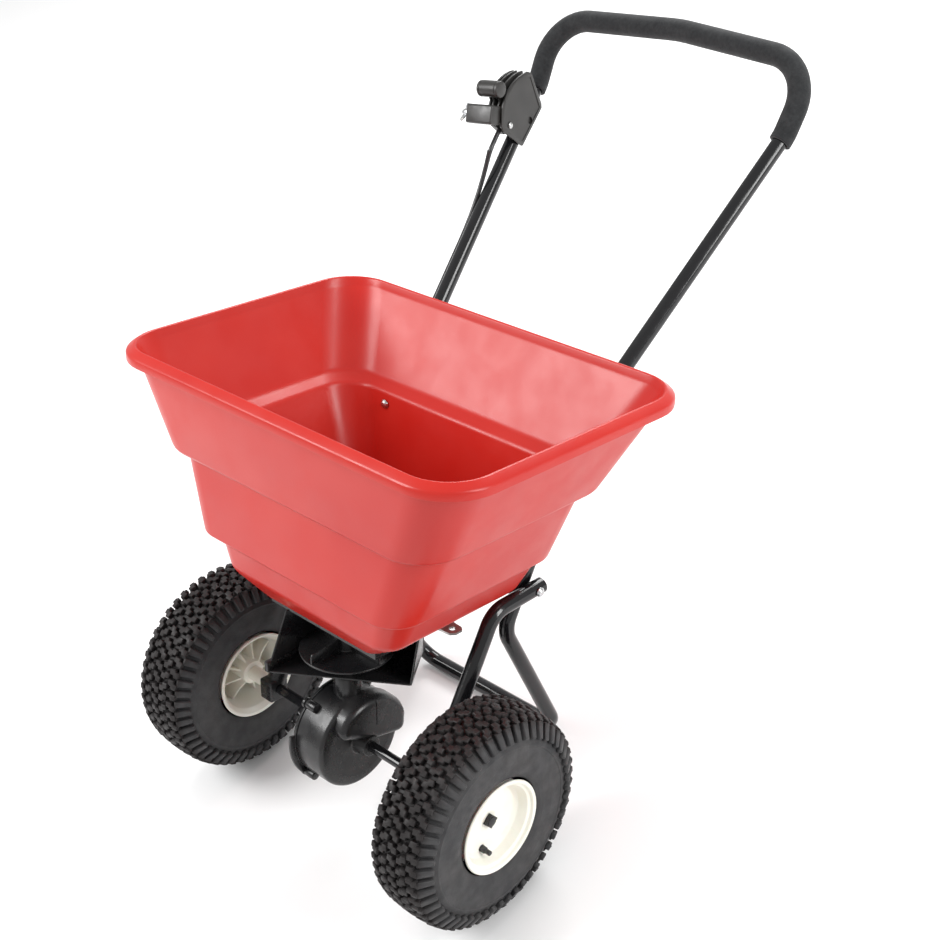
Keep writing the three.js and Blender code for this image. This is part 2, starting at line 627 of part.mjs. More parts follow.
function rim(s) {
  const f = TYRE_W / 2;
  const outside = [
    [HUB_OUT, AXLE_R + 0.25], [HUB_OUT, 12], [HUB_OUT - 1, 15], [HUB_OUT - 1, RIM_R - 16.4],
    [HUB_OUT + 2, RIM_R - 11.4], [f - 6, RIM_R - 7.4], [f - 1.5, RIM_R - 2.6], [f - 0.5, RIM_R]];
  const bead = [
    [f - 3, RIM_R + 0.4], [f - 6, RIM_R - 3], [f - 12, RIM_R - 5.6],
    [12 - f, RIM_R - 5.6], [6 - f, RIM_R - 3], [3 - f, RIM_R + 0.4]];
  const inside = [
    [0.5 - f, RIM_R], [1.5 - f, RIM_R - 2.6], [9 - f, RIM_R - 8.9], [HUB_OUT - 8, RIM_R - 11.4],
    [HUB_OUT - 5, RIM_R - 16.4], [HUB_OUT - 5, 17], [HUB_IN, 15.5], [HUB_IN, AXLE_R + 0.25]];
  const profile = [...outside, ...bead, ...inside];
  const body = turned(profile, 24, s * TRACK / 2, s);
  const tools = [valveHole(s)];
  if (s > 0) tools.push(rod([V(PIN_X, 0, -30), V(PIN_X, 0, 30)], 2.6, 12));
  return cut(body, ...tools);
}

const VALVE = V(0, -9, 22.4 - RIM_R);
function valveHole(s) {
  const x = s * TRACK / 2;
  return rod([V(x + s * (HUB_OUT - 12), VALVE.y, VALVE.z), V(x + s * (HUB_OUT + 12), VALVE.y, VALVE.z)],
    4.6, 14);
}

function valve(s) {
  const x = s * TRACK / 2;
  const at = (d) => V(x + s * d, VALVE.y, VALVE.z);
  const stem = rod([at(HUB_OUT - 7), at(HUB_OUT + 6)], 4.1, 12);
  return join(stem, rod([at(HUB_OUT + 5), at(HUB_OUT + 13)], 3.2, 12));
}

function tyre(s) {
  const w = TYRE_W / 2;
  const r = (k) => RIM_R + (TYRE_R - RIM_R) * k;
  const profile = [[w - 4.5, RIM_R + 2.2], [w - 1, r(0.16)], [w, r(0.36)], [w - 0.4, r(0.56)],
    [w - 4.5, r(0.76)], [w - 11, r(0.905)], [w - 22, r(0.985)], [w - 30, r(1)]];
  const inner = [[w - 9, RIM_R + 3.7], [w - 6.5, r(0.3)], [w - 7.5, r(0.62)], [w - 16, r(0.84)]];
  const flip = (list) => list.slice().reverse().map(([x, q]) => [-x, q]);
  return turned([...profile, ...flip(profile), ...flip(inner).reverse(), ...inner.slice().reverse()],
    28, s * TRACK / 2);
}

const BLOCK_HALF = 11;
const SOCKET_R = 12;

function axleBlock(s) {
  const x = s * STRUT_X;
  const block = box(x - BLOCK_HALF, x + BLOCK_HALF, -14, 13, -16, 12);
  const end = V(x, STRUT_DIR.y * 26, STRUT_DIR.z * 26);
  const socket = rod([V(x, 0, 0), end], SOCKET_R, 20);
  const inner = rod([V(x, STRUT_DIR.y * 14.6, STRUT_DIR.z * 14.6), V(x, STRUT_DIR.y * 60, STRUT_DIR.z * 60)],
    TUBE_R + GAP, 20);
  const bore = rod([V(x - 30, 0, 0), V(x + 30, 0, 0)], AXLE_R + 0.25, 20);
  return cut(join(block, socket), inner, bore);
}

function axleSpacer(s) {
  const a = s * (STRUT_X + SOCKET_R + GAP);
  const b = s * (TRACK / 2 + HUB_IN - GAP);
  return pipe([V(a, 0, 0), V(b, 0, 0)], 9.5, AXLE_R + 0.25, 18);
}

function axleNut(s) {
  const a = s * (TRACK / 2 + HUB_OUT + GAP);
  return pipe([V(a, 0, 0), V(a + s * 5, 0, 0)], 13, (AXLE_R + 0.3) * Math.SQRT2, 4);
}

// ---------------------------------------------------------------- control
const CONSOLE_AT = mirrored(JOINT).addScaledVector(mirrored(HANDLE_DIR), 318);
const C_T = mirrored(HANDLE_DIR);
const C_U = V(1, 0, 0).addScaledVector(C_T, -C_T.x).normalize();
const C_N = C_U.clone().cross(C_T);
const CONSOLE = new THREE.Matrix4().makeBasis(C_T, C_N, C_U).setPosition(CONSOLE_AT);

// along the tube, off its front, towards the middle of the machine
function consolePoint(t, n, u) {
  return V(t, n, u).applyMatrix4(CONSOLE);
}

const FAN = [30, 0];
const inConsole = (geometry) => geometry.applyMatrix4(CONSOLE);

function fan(radius, from, to, steps) {
  return disc(FAN[0], FAN[1], radius, steps, from, to);
}

function consoleBody() {
  const depth = 2 * TUBE_R + 5;
  const core = inConsole(prism([...fan(48, 0.72, 2.35, 8), [-2, 11], [60, 11]], [], depth)
    .translate(0, 0, -TUBE_R - 4.5));
  const fins = [[-14, -11], [-6.5, -3.5], [1, 4]].map(([a, b]) => inConsole(
    prism([...fan(57, 0.72, 2.2, 10), [6, 12], [58, 12]], [], b - a).translate(0, 0, a)));
  const under = -TUBE_R - 4;
  const over = TUBE_R + 4.5;
  const clamp = inConsole(prism([[8, under], [52, under], [52, over], [8, over]], [], depth)
    .translate(0, 0, -over));
  const bore = rod([consolePoint(-60, 0, 0), consolePoint(120, 0, 0)], TUBE_R + GAP, 20);
  const slot = inConsole(prism([...fan(80, 0.86, 2.28, 4), ...fan(17, 0.86, 2.28, 4).reverse()], [], 5.6)
    .translate(0, 0, -12.4 + 8.4 - 1.6));
  return cut(join(core, ...fins, clamp), bore, slot);
}

function consolePlate() {
  const outline = [[-5, -8], [56, -12], [60, -8], [78, 34], [74, 43], ...fan(60.5, 0.8, 2.0, 10).slice(1),
    [-9, 44], [-12, 36]];
  return inConsole(prism(outline, [disc(2, 30, 2.4, 12), disc(FAN[0], -1, 4.6, 16)], 2.6)
    .translate(0, 0, TUBE_R + 0.9));
}

function consoleScrew() {
  return bolt(consolePoint(2, 30, TUBE_R + 3.8), C_U.clone().negate(), 4, 1.8, 2, 2.6, 12);
}

const LEVER_U = [-4.9, -1.1];
const LEVER_ANGLE = 1.62;

function radial(angle, r, off = 0) {
  const cos = Math.cos(angle);
  const sin = Math.sin(angle);
  return [FAN[0] + r * cos - off * sin, FAN[1] + r * sin + off * cos];
}

function lever() {
  const a = LEVER_ANGLE;
  const outline = [radial(a, 19, -5), radial(a, 70, -4), radial(a, 70, 4), radial(a, 19, 5)];
  return inConsole(prism(outline, [], LEVER_U[1] - LEVER_U[0]).translate(0, 0, LEVER_U[0]));
}

function leverKnob() {
  const [t, n] = radial(LEVER_ANGLE, 73.5);
  const body = rod([consolePoint(t, n, -20), consolePoint(t, n, 13)], 10.5, 20);
  const socket = inConsole(prism([radial(LEVER_ANGLE, 50, -4.4), radial(LEVER_ANGLE, 72, -4.4),
    radial(LEVER_ANGLE, 72, 4.4), radial(LEVER_ANGLE, 50, 4.4)], [], LEVER_U[1] - LEVER_U[0] + 0.6)
    .translate(0, 0, LEVER_U[0] - 0.3));
  return cut(body, socket);
}

const STOP_ANGLE = 2.06;

function stopBlock() {
  const at = (r, off) => radial(STOP_ANGLE, r, off);
  const block = inConsole(prism([at(58.2, -11), at(78, -11), at(78, 13), at(58.2, 13)], [], 41)
    .translate(0, 0, -31));
  const [t, n] = radial(STOP_ANGLE, 70);
  const hole = rod([consolePoint(t, n, -60), consolePoint(t, n, -12)], 3.2, 12);
  return cut(block, hole);
}

function stopNut() {
  const [t, n] = radial(STOP_ANGLE, 70);
  const stud = rod([consolePoint(t, n, -42), consolePoint(t, n, -16)], 2.9, 12);
  const body = rod([consolePoint(t, n, -40), consolePoint(t, n, -31.4)], 5.5, 14);
  const wings = inConsole(prism([[t - 14, n - 2.4], [t + 14, n - 2.4], [t + 14, n + 2.4], [t - 14, n + 2.4]],
    [], 5).translate(0, 0, -41));
  return join(stud, body, wings);
}

// ---------------------------------------------------------------- assemble
add('hopper', hopperNode(), RED);
add('base_plate', basePlate(), PLASTIC);
add('slide_plate', slidePlate(), CREAM);
add('pull_wire', pullWire(), STEEL);
add('deflector', deflector(), PLASTIC);
add('impeller', impeller(), PLASTIC);
add('impeller_shaft', rod([V(0, 0, SHAFT_LOW), V(0, 0, SHAFT_HIGH)], SHAFT_R, 16), STEEL);
add('agitator', agitator(), STEEL);
add('pinion', pinion(), STEEL);
add('crown_gear', crownGear(), STEEL);
add('gearbox_case', gearboxCase(), PLASTIC);
add('gearbox_cover', gearboxCover(), PLASTIC);
screwSpots().forEach(([y, z], i) => {
  const seat = V(CASE_X[0] - GAP - 5 - GAP, y, z);
  add(`gearbox_screw_${i + 1}`, bolt(seat, V(1, 0, 0), 4, 2.4, 2, 15, 10), STEEL);
});
add('axle', axle(), PAINT);
add('drive_pin', rod([V(PIN_X, 0, -19), V(PIN_X, 0, 19)], 2.3, 12), STEEL);
for (const [side, s] of [['left', 1], ['right', -1]]) {
  add(`rim_${side}`, rim(s), CREAM);
  add(`tyre_${side}`, tyre(s), RUBBER);
  add(`valve_${side}`, valve(s), RUBBER);
  add(`axle_nut_${side}`, axleNut(s), STEEL);
  add(`axle_spacer_${side}`, axleSpacer(s), STEEL);
  add(`axle_block_${side}`, axleBlock(s), PLASTIC);
  add(`strut_${side}`, strut(s), PAINT);
  const pin = V(s * (STRUT_X + TUBE_R + GAP), STRUT_PIN.y, STRUT_PIN.z);
  add(`strut_bolt_${side}`, bolt(pin, V(-s, 0, 0), 6, 4, 3, 46), STEEL);
  const nutSeat = V(s * (STAND_X - TUBE_R - GAP), STRUT_PIN.y, STRUT_PIN.z);
  add(`strut_nut_${side}`, nut(nutSeat, V(-s, 0, 0), 6, 5, 3.2), STEEL);
  const y = tubeYAt(BOLT_Z);
  const wallY = wallYAt(BOLT_Z);
  const x = s * boltX();
  const head = V(x, insideYAt(BOLT_Z) - 1.6, BOLT_Z);
  add(`hopper_bolt_${side}`, bolt(head, V(0, 1, 0), 6, 3.6, 3, y + TUBE_R + 9 - head.y), STEEL);
  add(`hopper_spacer_${side}`, hopperSpacer(x, wallY, y), PLASTIC);
  add(`hopper_nut_${side}`, nut(V(x, y + TUBE_R + 1.9, BOLT_Z), V(0, 1, 0), 6, 5, 3.2), STEEL);
  add(`coupler_${side}`, coupler(s), STEEL);
}

function hopperSpacer(x, wallY, y) {
  const sleeve = pipe([V(x, wallY + 7, BOLT_Z), V(x, y, BOLT_Z)], 5.5, 3.5, 14);
  const s = Math.sign(x);
  const tube = [V1, V2].map((p) => V(s * p.x, p.y, p.z));
  const along = tube[1].clone().sub(tube[0]).multiplyScalar(0.3);
  return cut(sleeve, rod([tube[0].clone().sub(along), tube[1].clone().add(along)], TUBE_R + 0.8, 24));
}

function rearBetween(a, b, z) {
  return a.yr + (b.yr - a.yr) * (z - a.z) / (b.z - a.z);
}

function wallYAt(z) {
  return rearBetween(section('step'), section('waist'), z);
}

function insideYAt(z) {
  return rearBetween(section('step', WALL, LIFTS.step), section('waist', WALL, LIFTS.waist), z);
}

add('stand_frame', standFrame(), PAINT);
add('handle', handleTube(), PAINT);
add('foam_grip', foamGrip(), FOAM);
baseScrews().forEach(([x, y], i) => {
  add(`base_screw_${i + 1}`, bolt(V(x, y, BASE_Z - GAP), V(0, 0, 1), 4, 2.4, 2, 8, 10), STEEL);
});
add('cable_casing', cableCasing(), PLASTIC);
add('console_body', consoleBody(), PLASTIC);
add('console_plate', consolePlate(), PLASTIC);
add('console_screw', consoleScrew(), STEEL);
add('control_lever', lever(), PLASTIC);
add('lever_knob', leverKnob(), PLASTIC);
add('stop_block', stopBlock(), PLASTIC);
add('stop_nut', stopNut(), STEEL);

// ---------------------------------------------------------------- tip back onto the stand
const tip = new THREE.Matrix4().makeRotationX(-LEAN);
const bounds = new THREE.Box3();
for (const [, geometry] of parts) {
  geometry.applyMatrix4(tip);
  geometry.computeBoundingBox();
  bounds.union(geometry.boundingBox);
}
const middle = bounds.getCenter(new THREE.Vector3());
const spreader = new THREE.Group();
spreader.name = 'garden_spreader';
for (const [name, geometry, material] of parts) {
  geometry.translate(-middle.x, -middle.y, -bounds.min.z);
  const mesh = new THREE.Mesh(geometry, material);
  mesh.name = name;
  spreader.add(mesh);
}

export default spreader;
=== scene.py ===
# %% [markdown]
# # A walk-behind broadcast spreader
# A plastic hopper drops granules onto a spinning impeller that the wheels drive through a gearbox. A steel
# tube stand and a steel tube handle carry it, and a lever on the handle opens the gate by cable.
# This lesson dresses the engineering model: the frame stays as it is, and every surface gets its real shape
# and finish.

import json
import math

import bmesh
import bpy
from mathutils import Matrix, Vector


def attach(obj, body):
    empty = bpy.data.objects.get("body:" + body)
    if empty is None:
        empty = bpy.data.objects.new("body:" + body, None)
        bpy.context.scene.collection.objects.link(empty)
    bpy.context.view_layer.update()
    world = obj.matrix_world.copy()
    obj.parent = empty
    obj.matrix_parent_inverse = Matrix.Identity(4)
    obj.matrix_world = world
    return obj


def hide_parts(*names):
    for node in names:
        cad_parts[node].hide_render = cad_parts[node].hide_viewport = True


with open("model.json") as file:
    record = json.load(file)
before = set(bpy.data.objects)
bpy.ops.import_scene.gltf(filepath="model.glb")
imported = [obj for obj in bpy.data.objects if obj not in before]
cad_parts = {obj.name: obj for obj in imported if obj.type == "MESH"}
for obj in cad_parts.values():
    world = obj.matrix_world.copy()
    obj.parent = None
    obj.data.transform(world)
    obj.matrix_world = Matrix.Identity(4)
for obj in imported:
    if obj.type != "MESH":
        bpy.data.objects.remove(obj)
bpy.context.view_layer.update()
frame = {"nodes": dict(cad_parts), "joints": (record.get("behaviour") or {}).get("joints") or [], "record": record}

# %% [markdown]
# The machine stands leaning back on its tyres and its stand. It is much easier to think about with the hopper
# level, so the pieces are made in a level space measured from the axle, and one matrix tips them into place.
# The lean is read from the gate's sliding direction, and the axle from the joint it turns on.

# %% The level space
joints = {joint["name"]: joint for joint in frame["joints"]}
axle_centre = Vector(joints["axle_spin"]["pos_m"])
gate_way = Vector(joints["gate_slide"]["axis"])
LEAN = math.atan2(-gate_way.z, gate_way.y)
LEVEL = Matrix.Translation(axle_centre) @ Matrix.Rotation(-LEAN, 4, "X")
UNLEVEL = LEVEL.inverted()


def level_box(node):
    """Lowest and highest corner of a CAD node in the level space."""
    points = [UNLEVEL @ vertex.co for vertex in frame["nodes"][node].data.vertices]
    low = Vector([min(p[k] for p in points) for k in range(3)])
    high = Vector([max(p[k] for p in points) for k in range(3)])
    return low, high


tyre_low, tyre_high = level_box("tyre_left")
TYRE_R = (tyre_high.z - tyre_low.z) / 2 - 0.0008
print("leans back", round(math.degrees(LEAN), 2), "degrees")

# %% [markdown]
# ## The camera
# A three-quarter view from the front and above, turned and tipped with the level space, so the hopper's rim
# looks level. A long lens keeps the wheels close to the same size. It comes first, before any piece.

# %% The camera
CAMERA_AT = Vector((1.1514, -1.0095, 1.0932))
CAMERA_AZIMUTH = math.radians(43.55)
CAMERA_HEIGHT = math.radians(25.92)
CAMERA_ROLL = math.radians(1.135)
LENS_FOR_WIDTH = 1.6422  # focal length over picture width

back = Vector((math.sin(CAMERA_AZIMUTH) * math.cos(CAMERA_HEIGHT),
               -math.cos(CAMERA_AZIMUTH) * math.cos(CAMERA_HEIGHT),
               math.sin(CAMERA_HEIGHT)))
right = Vector((0, 0, 1)).cross(back).normalized()
up = back.cross(right)
right, up = (right * math.cos(CAMERA_ROLL) + up * math.sin(CAMERA_ROLL),
             up * math.cos(CAMERA_ROLL) - right * math.sin(CAMERA_ROLL))
camera_data = bpy.data.cameras.new("studio_camera")
camera_data.lens = LENS_FOR_WIDTH * camera_data.sensor_width
camera_data.clip_end = 50
camera = bpy.data.objects.new("studio_camera", camera_data)
bpy.context.scene.collection.objects.link(camera)
turn = Matrix((right, up, back)).transposed().to_4x4()
camera.matrix_world = LEVEL @ Matrix.Translation(CAMERA_AT) @ turn
bpy.context.scene.camera = camera
print("lens", round(camera_data.lens, 1), "mm")

# %% [markdown]
# ## Light and floor
# Studio pictures of tools use big soft boxes and a white sweep. The floor matters as much as the lamps here:
# the hopper's walls lean outwards, so what they mirror is the floor, and that pale reflection is what makes
# the red look milky on the flat faces and deep at the rounded corners.


# %% Light and floor
def soft_box(name, at, aim, width, height, power):
    data = bpy.data.lights.new(name, "AREA")
    data.shape = "RECTANGLE"
    data.size = width
    data.size_y = height
    data.energy = power
    lamp = bpy.data.objects.new(name, data)
    lamp.location = at
    lamp.rotation_euler = (Vector(at) - Vector(aim)).to_track_quat("Z", "Y").to_euler()
    bpy.context.scene.collection.objects.link(lamp)
    return lamp


middle = Vector((0, 0, 0.35))
soft_box("key_box", (-1.6, -1.9, 2.6), middle, 1.6, 1.6, 95)
soft_box("side_box", (2.6, 0.6, 1.6), middle, 0.8, 2.0, 55)
soft_box("back_box", (-0.6, 2.5, 2.2), middle, 2.4, 0.9, 70)

world = bpy.data.worlds.new("white_room")
bpy.context.scene.world = world
world.use_nodes = True
world.node_tree.nodes["Background"].inputs["Color"].default_value = (1, 1, 1, 1)
world.node_tree.nodes["Background"].inputs["Strength"].default_value = 0.62
bpy.context.scene.view_settings.view_transform = "Standard"


def make_floor(size=14.0, drop=0.0006):
    bm = bmesh.new()
    bmesh.ops.create_grid(bm, x_segments=1, y_segments=1, size=size / 2)
    bmesh.ops.translate(bm, verts=bm.verts, vec=(0, 0, -drop))
    mesh = bpy.data.meshes.new("floor")
    bm.to_mesh(mesh)
    bm.free()
    floor = bpy.data.objects.new("floor", mesh)
    bpy.context.scene.collection.objects.link(floor)
    paint = bpy.data.materials.new("floor_white")
    paint.use_nodes = True
    shader = paint.node_tree.nodes["Principled BSDF"]
    shader.inputs["Base Color"].default_value = (0.9, 0.9, 0.9, 1)
    shader.inputs["Roughness"].default_value = 0.9
    mesh.materials.append(paint)


make_floor()

# %% [markdown]
# ## Finishes
# Each finish starts from one shader with its constant values set on its own sockets. On top go three small
# things that separate a real surface from a flat colour: a mottle in the colour, a drift in the roughness,
# and a fine relief. All of them read Object coordinates, which stay with the piece as it moves.


# %% Building blocks for finishes
class Finish:
    """A material under construction: one Principled shader and what feeds it."""

    def __init__(self, name, color, roughness, metallic=0.0, **sockets):
        self.material = bpy.data.materials.new(name)
        self.material.use_nodes = True
        self.tree = self.material.node_tree
        self.shader = self.tree.nodes["Principled BSDF"]
        self.color = color
        self.shader.inputs["Base Color"].default_value = (*color, 1)
        self.shader.inputs["Roughness"].default_value = roughness
        self.shader.inputs["Metallic"].default_value = metallic
        for socket, value in sockets.items():
            self.shader.inputs[socket.replace("_", " ")].default_value = value
        self.where = self.tree.nodes.new("ShaderNodeTexCoord").outputs["Object"]
        self.relief = None

    def link(self, a, b):
        self.tree.links.new(a, b)

    def noise(self, scale, detail=3.0, stretch=(1, 1, 1), rough=0.5):
        """A cloud of the given scale, per metre, stretched along an axis."""
        mapping = self.tree.nodes.new("ShaderNodeMapping")
        mapping.inputs["Scale"].default_value = stretch
        node = self.tree.nodes.new("ShaderNodeTexNoise")
        node.inputs["Scale"].default_value = scale
        node.inputs["Detail"].default_value = detail
        node.inputs["Roughness"].default_value = rough
        self.link(self.where, mapping.inputs["Vector"])
        self.link(mapping.outputs["Vector"], node.inputs["Vector"])
        return node.outputs["Fac"]

    def from_axle(self):
        """The distance from the axle line, in metres."""
        moved_there = self.tree.nodes.new("ShaderNodeVectorMath")
        moved_there.operation = "SUBTRACT"
        moved_there.inputs[1].default_value = axle_centre
        flat = self.tree.nodes.new("ShaderNodeVectorMath")
        flat.operation = "MULTIPLY"
        flat.inputs[1].default_value = (0, 1, 1)
        length = self.tree.nodes.new("ShaderNodeVectorMath")
        length.operation = "LENGTH"
        self.link(self.where, moved_there.inputs[0])
        self.link(moved_there.outputs["Vector"], flat.inputs[0])
        self.link(flat.outputs["Vector"], length.inputs[0])
        return length.outputs["Value"]

    def spread(self, value, low, high, start=0.35, stop=0.65):
        """The value between start and stop, turned into low to high."""
        node = self.tree.nodes.new("ShaderNodeMapRange")
        for socket, number in (("From Min", start), ("From Max", stop), ("To Min", low), ("To Max", high)):
            node.inputs[socket].default_value = number
        self.link(value, node.inputs["Value"])
        return node.outputs["Result"]

    def mottle(self, other, value):
        """Mixes the base colour with another where the value is high."""
        node = self.tree.nodes.new("ShaderNodeMix")
        node.data_type = "RGBA"
        self.link(value, node.inputs["Factor"])
        before = self.shader.inputs["Base Color"]
        if before.is_linked:
            self.link(before.links[0].from_socket, node.inputs["A"])
        else:
            node.inputs["A"].default_value = (*self.color, 1)
        node.inputs["B"].default_value = (*other, 1)
        self.link(node.outputs["Result"], before)
        return self

    def drift(self, value):
        self.link(value, self.shader.inputs["Roughness"])
        return self

    def emboss(self, height, depth, strength=1.0):
        """Adds relief of the given depth in metres."""
        node = self.tree.nodes.new("ShaderNodeBump")
        node.inputs["Distance"].default_value = depth
        node.inputs["Strength"].default_value = strength
        self.link(height, node.inputs["Height"])
        if self.relief:
            self.link(self.relief, node.inputs["Normal"])
        self.relief = node.outputs["Normal"]
        self.link(self.relief, self.shader.inputs["Normal"])
        return self


# %% [markdown]
# **Hopper red.** Injection-moulded polyethylene: glossy but never mirror-like, with a faint ripple where it
# cooled, a fine bloom of scuffs, and a slightly paler cast where it has been rubbed.


# %% Hopper red
def hopper_red():
    finish = Finish("hopper_red", (0.47, 0.014, 0.009), 0.34, Coat_Weight=0.06, Coat_Roughness=0.15,
                    Specular_IOR_Level=0.36)
    clouds = finish.noise(7, detail=2)
    scuffs = finish.noise(60, detail=5, stretch=(1, 1, 6), rough=0.7)
    finish.mottle((0.52, 0.024, 0.015), finish.spread(clouds, 0, 0.7))
    finish.mottle((0.60, 0.11, 0.08), finish.spread(scuffs, 0, 0.10, 0.62, 0.8))
    finish.drift(finish.spread(finish.noise(24, detail=4), 0.28, 0.38))
    finish.emboss(finish.noise(9, detail=0), 0.0008, 0.25)
    finish.emboss(finish.noise(900, detail=2), 0.00008)
    return finish.material


# %% [markdown]
# **Wheels and tyres.** The rims are cream polypropylene that has yellowed unevenly. The tyres are black
# rubber: grey on the sidewall, darker on the tread, with dust lying thicker in some patches, and a faint
# mould grain.


# %% Rim and tyre finishes
def rim_cream():
    finish = Finish("rim_cream", (0.87, 0.85, 0.78), 0.36, Specular_IOR_Level=0.5,
                    Subsurface_Weight=0.08, Subsurface_Scale=0.01)
    finish.mottle((0.80, 0.75, 0.63), finish.spread(finish.noise(16, detail=4), 0, 0.6))
    stains = finish.noise(90, detail=6, rough=0.7)
    finish.mottle((0.36, 0.33, 0.27), finish.spread(stains, 0, 0.35, 0.64, 0.8))
    finish.drift(finish.spread(finish.noise(40), 0.3, 0.48))
    finish.emboss(finish.noise(700, detail=2), 0.00006)
    return finish.material


def tyre_rubber():
    finish = Finish("tyre_rubber", (0.030, 0.030, 0.032), 0.6, Specular_IOR_Level=0.4)
    finish.mottle((0.045, 0.043, 0.043), finish.spread(finish.noise(22, detail=5, rough=0.6), 0, 0.8))
    # Darker towards the outside: from 14 mm inside the tyre's outer radius outwards, the tread is painted darker
    # than the sidewall.
    darker_tread = finish.spread(finish.from_axle(), 0, 0.9, TYRE_R - 0.014, TYRE_R - 0.006)
    finish.mottle((0.012, 0.009, 0.009), darker_tread)
    dust = finish.noise(160, detail=6, rough=0.75)
    finish.mottle((0.10, 0.085, 0.070), finish.spread(dust, 0, 0.3, 0.6, 0.85))
    finish.drift(finish.spread(finish.noise(60, detail=4), 0.5, 0.78))
    finish.emboss(finish.noise(420, detail=4, rough=0.65), 0.00035)
    return finish.material


def valve_rubber():
    finish = Finish("valve_rubber", (0.02, 0.02, 0.021), 0.5)
    finish.mottle((0.05, 0.048, 0.046), finish.spread(finish.noise(200), 0, 0.6))
    finish.emboss(finish.noise(900), 0.0001)
    return finish.material


# %% [markdown]
# **Black surfaces.** Four blacks sit side by side and have to read apart: glossy powder coat on the tubes,
# grained plastic on the gearbox and the deflector, satin plastic on the control, and dull foam on the grip.


# %% Black finishes
def black_paint():
    finish = Finish("black_paint", (0.006, 0.006, 0.007), 0.14, Specular_IOR_Level=0.5)
    handling = finish.noise(120, detail=5, rough=0.7)
    finish.mottle((0.02, 0.02, 0.022), finish.spread(handling, 0, 0.5, 0.6, 0.8))
    finish.drift(finish.spread(finish.noise(50, detail=3), 0.10, 0.2))
    finish.emboss(finish.noise(500, detail=1), 0.00005)
    return finish.material


def black_plastic():
    finish = Finish("black_plastic", (0.008, 0.008, 0.009), 0.3, Specular_IOR_Level=0.45)
    finish.mottle((0.018, 0.017, 0.017), finish.spread(finish.noise(30, detail=4), 0, 0.7))
    finish.drift(finish.spread(finish.noise(70, detail=4), 0.22, 0.36))
    finish.emboss(finish.noise(1400, detail=2), 0.00005)
    return finish.material


def control_plastic():
    finish = Finish("control_plastic", (0.020, 0.019, 0.018), 0.36, Specular_IOR_Level=0.5)
    finish.mottle((0.038, 0.036, 0.034), finish.spread(finish.noise(45, detail=4), 0, 0.6))
    finish.drift(finish.spread(finish.noise(90, detail=3), 0.28, 0.42))
    finish.emboss(finish.noise(1600, detail=2), 0.00006)
    return finish.material


def grip_foam():
    finish = Finish("grip_foam", (0.013, 0.014, 0.015), 0.8, Sheen_Weight=0.12, Sheen_Roughness=0.5,
                    Specular_IOR_Level=0.3)
    cells = finish.noise(260, detail=5, rough=0.7)
    finish.mottle((0.026, 0.027, 0.029), finish.spread(cells, 0, 0.8))
    finish.drift(finish.spread(finish.noise(80), 0.75, 0.95))
    finish.emboss(finish.noise(1500, detail=3), 0.00035)
    finish.emboss(finish.noise(40, detail=2), 0.0006)
    return finish.material


def cable_black():
    finish = Finish("cable_black", (0.012, 0.012, 0.013), 0.3)
    finish.mottle((0.04, 0.04, 0.04), finish.spread(finish.noise(300, detail=3), 0, 0.5))
    finish.emboss(finish.noise(900), 0.0001)
    return finish.material


# %% [markdown]
# **Metals.** Zinc-plated fasteners are bright with a cool, cloudy film. Turned steel has fine lines round it.
# The gate is a flat galvanised plate, duller, with a spangle of crystals.


# %% Metal finishes
def zinc():
    finish = Finish("zinc", (0.62, 0.63, 0.65), 0.24, metallic=1.0)
    finish.mottle((0.50, 0.50, 0.46), finish.spread(finish.noise(180, detail=3), 0, 0.7))
    finish.drift(finish.spread(finish.noise(350, detail=4), 0.18, 0.36))
    finish.emboss(finish.noise(900), 0.00004)
    return finish.material


def bare_steel():
    finish = Finish("bare_steel", (0.46, 0.46, 0.47), 0.32, metallic=1.0)
    finish.mottle((0.30, 0.28, 0.26), finish.spread(finish.noise(90, detail=5), 0, 0.6, 0.5, 0.75))
    finish.drift(finish.spread(finish.noise(500, detail=2, stretch=(1, 1, 12)), 0.26, 0.42))
    finish.emboss(finish.noise(800, detail=2, stretch=(1, 1, 12)), 0.00004)
    return finish.material


def gate_steel():
    finish = Finish("gate_steel", (0.58, 0.57, 0.55), 0.38, metallic=0.9)
    finish.mottle((0.44, 0.43, 0.42), finish.spread(finish.noise(110, detail=2), 0, 0.8, 0.42, 0.58))
    finish.drift(finish.spread(finish.noise(110, detail=2), 0.3, 0.5))
    finish.emboss(finish.noise(600), 0.00005)
    return finish.material


finishes = {make.__name__: make() for make in (
    hopper_red, rim_cream, tyre_rubber, valve_rubber, black_paint, black_plastic, control_plastic,
    grip_foam, cable_black, zinc, bare_steel, gate_steel)}
for part in frame["record"]["subparts"]:
    for material_slot in frame["nodes"][part["node"]].material_slots:
        material_slot.material = finishes[part["material_slot"]]
print("finishes:", ", ".join(finishes))

# %% [markdown]
# ## Making pieces
# A few small tools do all the modelling: turn a profile about the axle line, run a ring along a bent tube,
# raise a rounded outline into a plate, and cut one shape with another. Every piece is built in a bmesh, and
# `show` turns it into an object, rides it on its body and hides the CAD nodes it stands for.


# %% From bmesh to a piece on a body
def to_object(name, bm):
    mesh = bpy.data.meshes.new(name)
    bm.to_mesh(mesh)
    bm.free()
    piece = bpy.data.objects.new(name, mesh)
    bpy.context.scene.collection.objects.link(piece)
    return piece


def face_outwards(bm):
    bm.normal_update()
    bmesh.ops.recalc_face_normals(bm, faces=bm.faces)
    if bm.calc_volume(signed=True) < 0:
        bmesh.ops.reverse_faces(bm, faces=bm.faces)


def show(name, bm, finish, body, *nodes, place=LEVEL, crease=38):
    """Puts the finished bmesh in place, with smooth shading up to the crease angle."""
    face_outwards(bm)
    bm.transform(place)
    piece = to_object(name, bm)
    piece.data.materials.append(finishes[finish])
    piece.data.shade_smooth()
    piece.data.set_sharp_from_angle(angle=math.radians(crease))
    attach(piece, body)
    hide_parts(*nodes)
    return piece


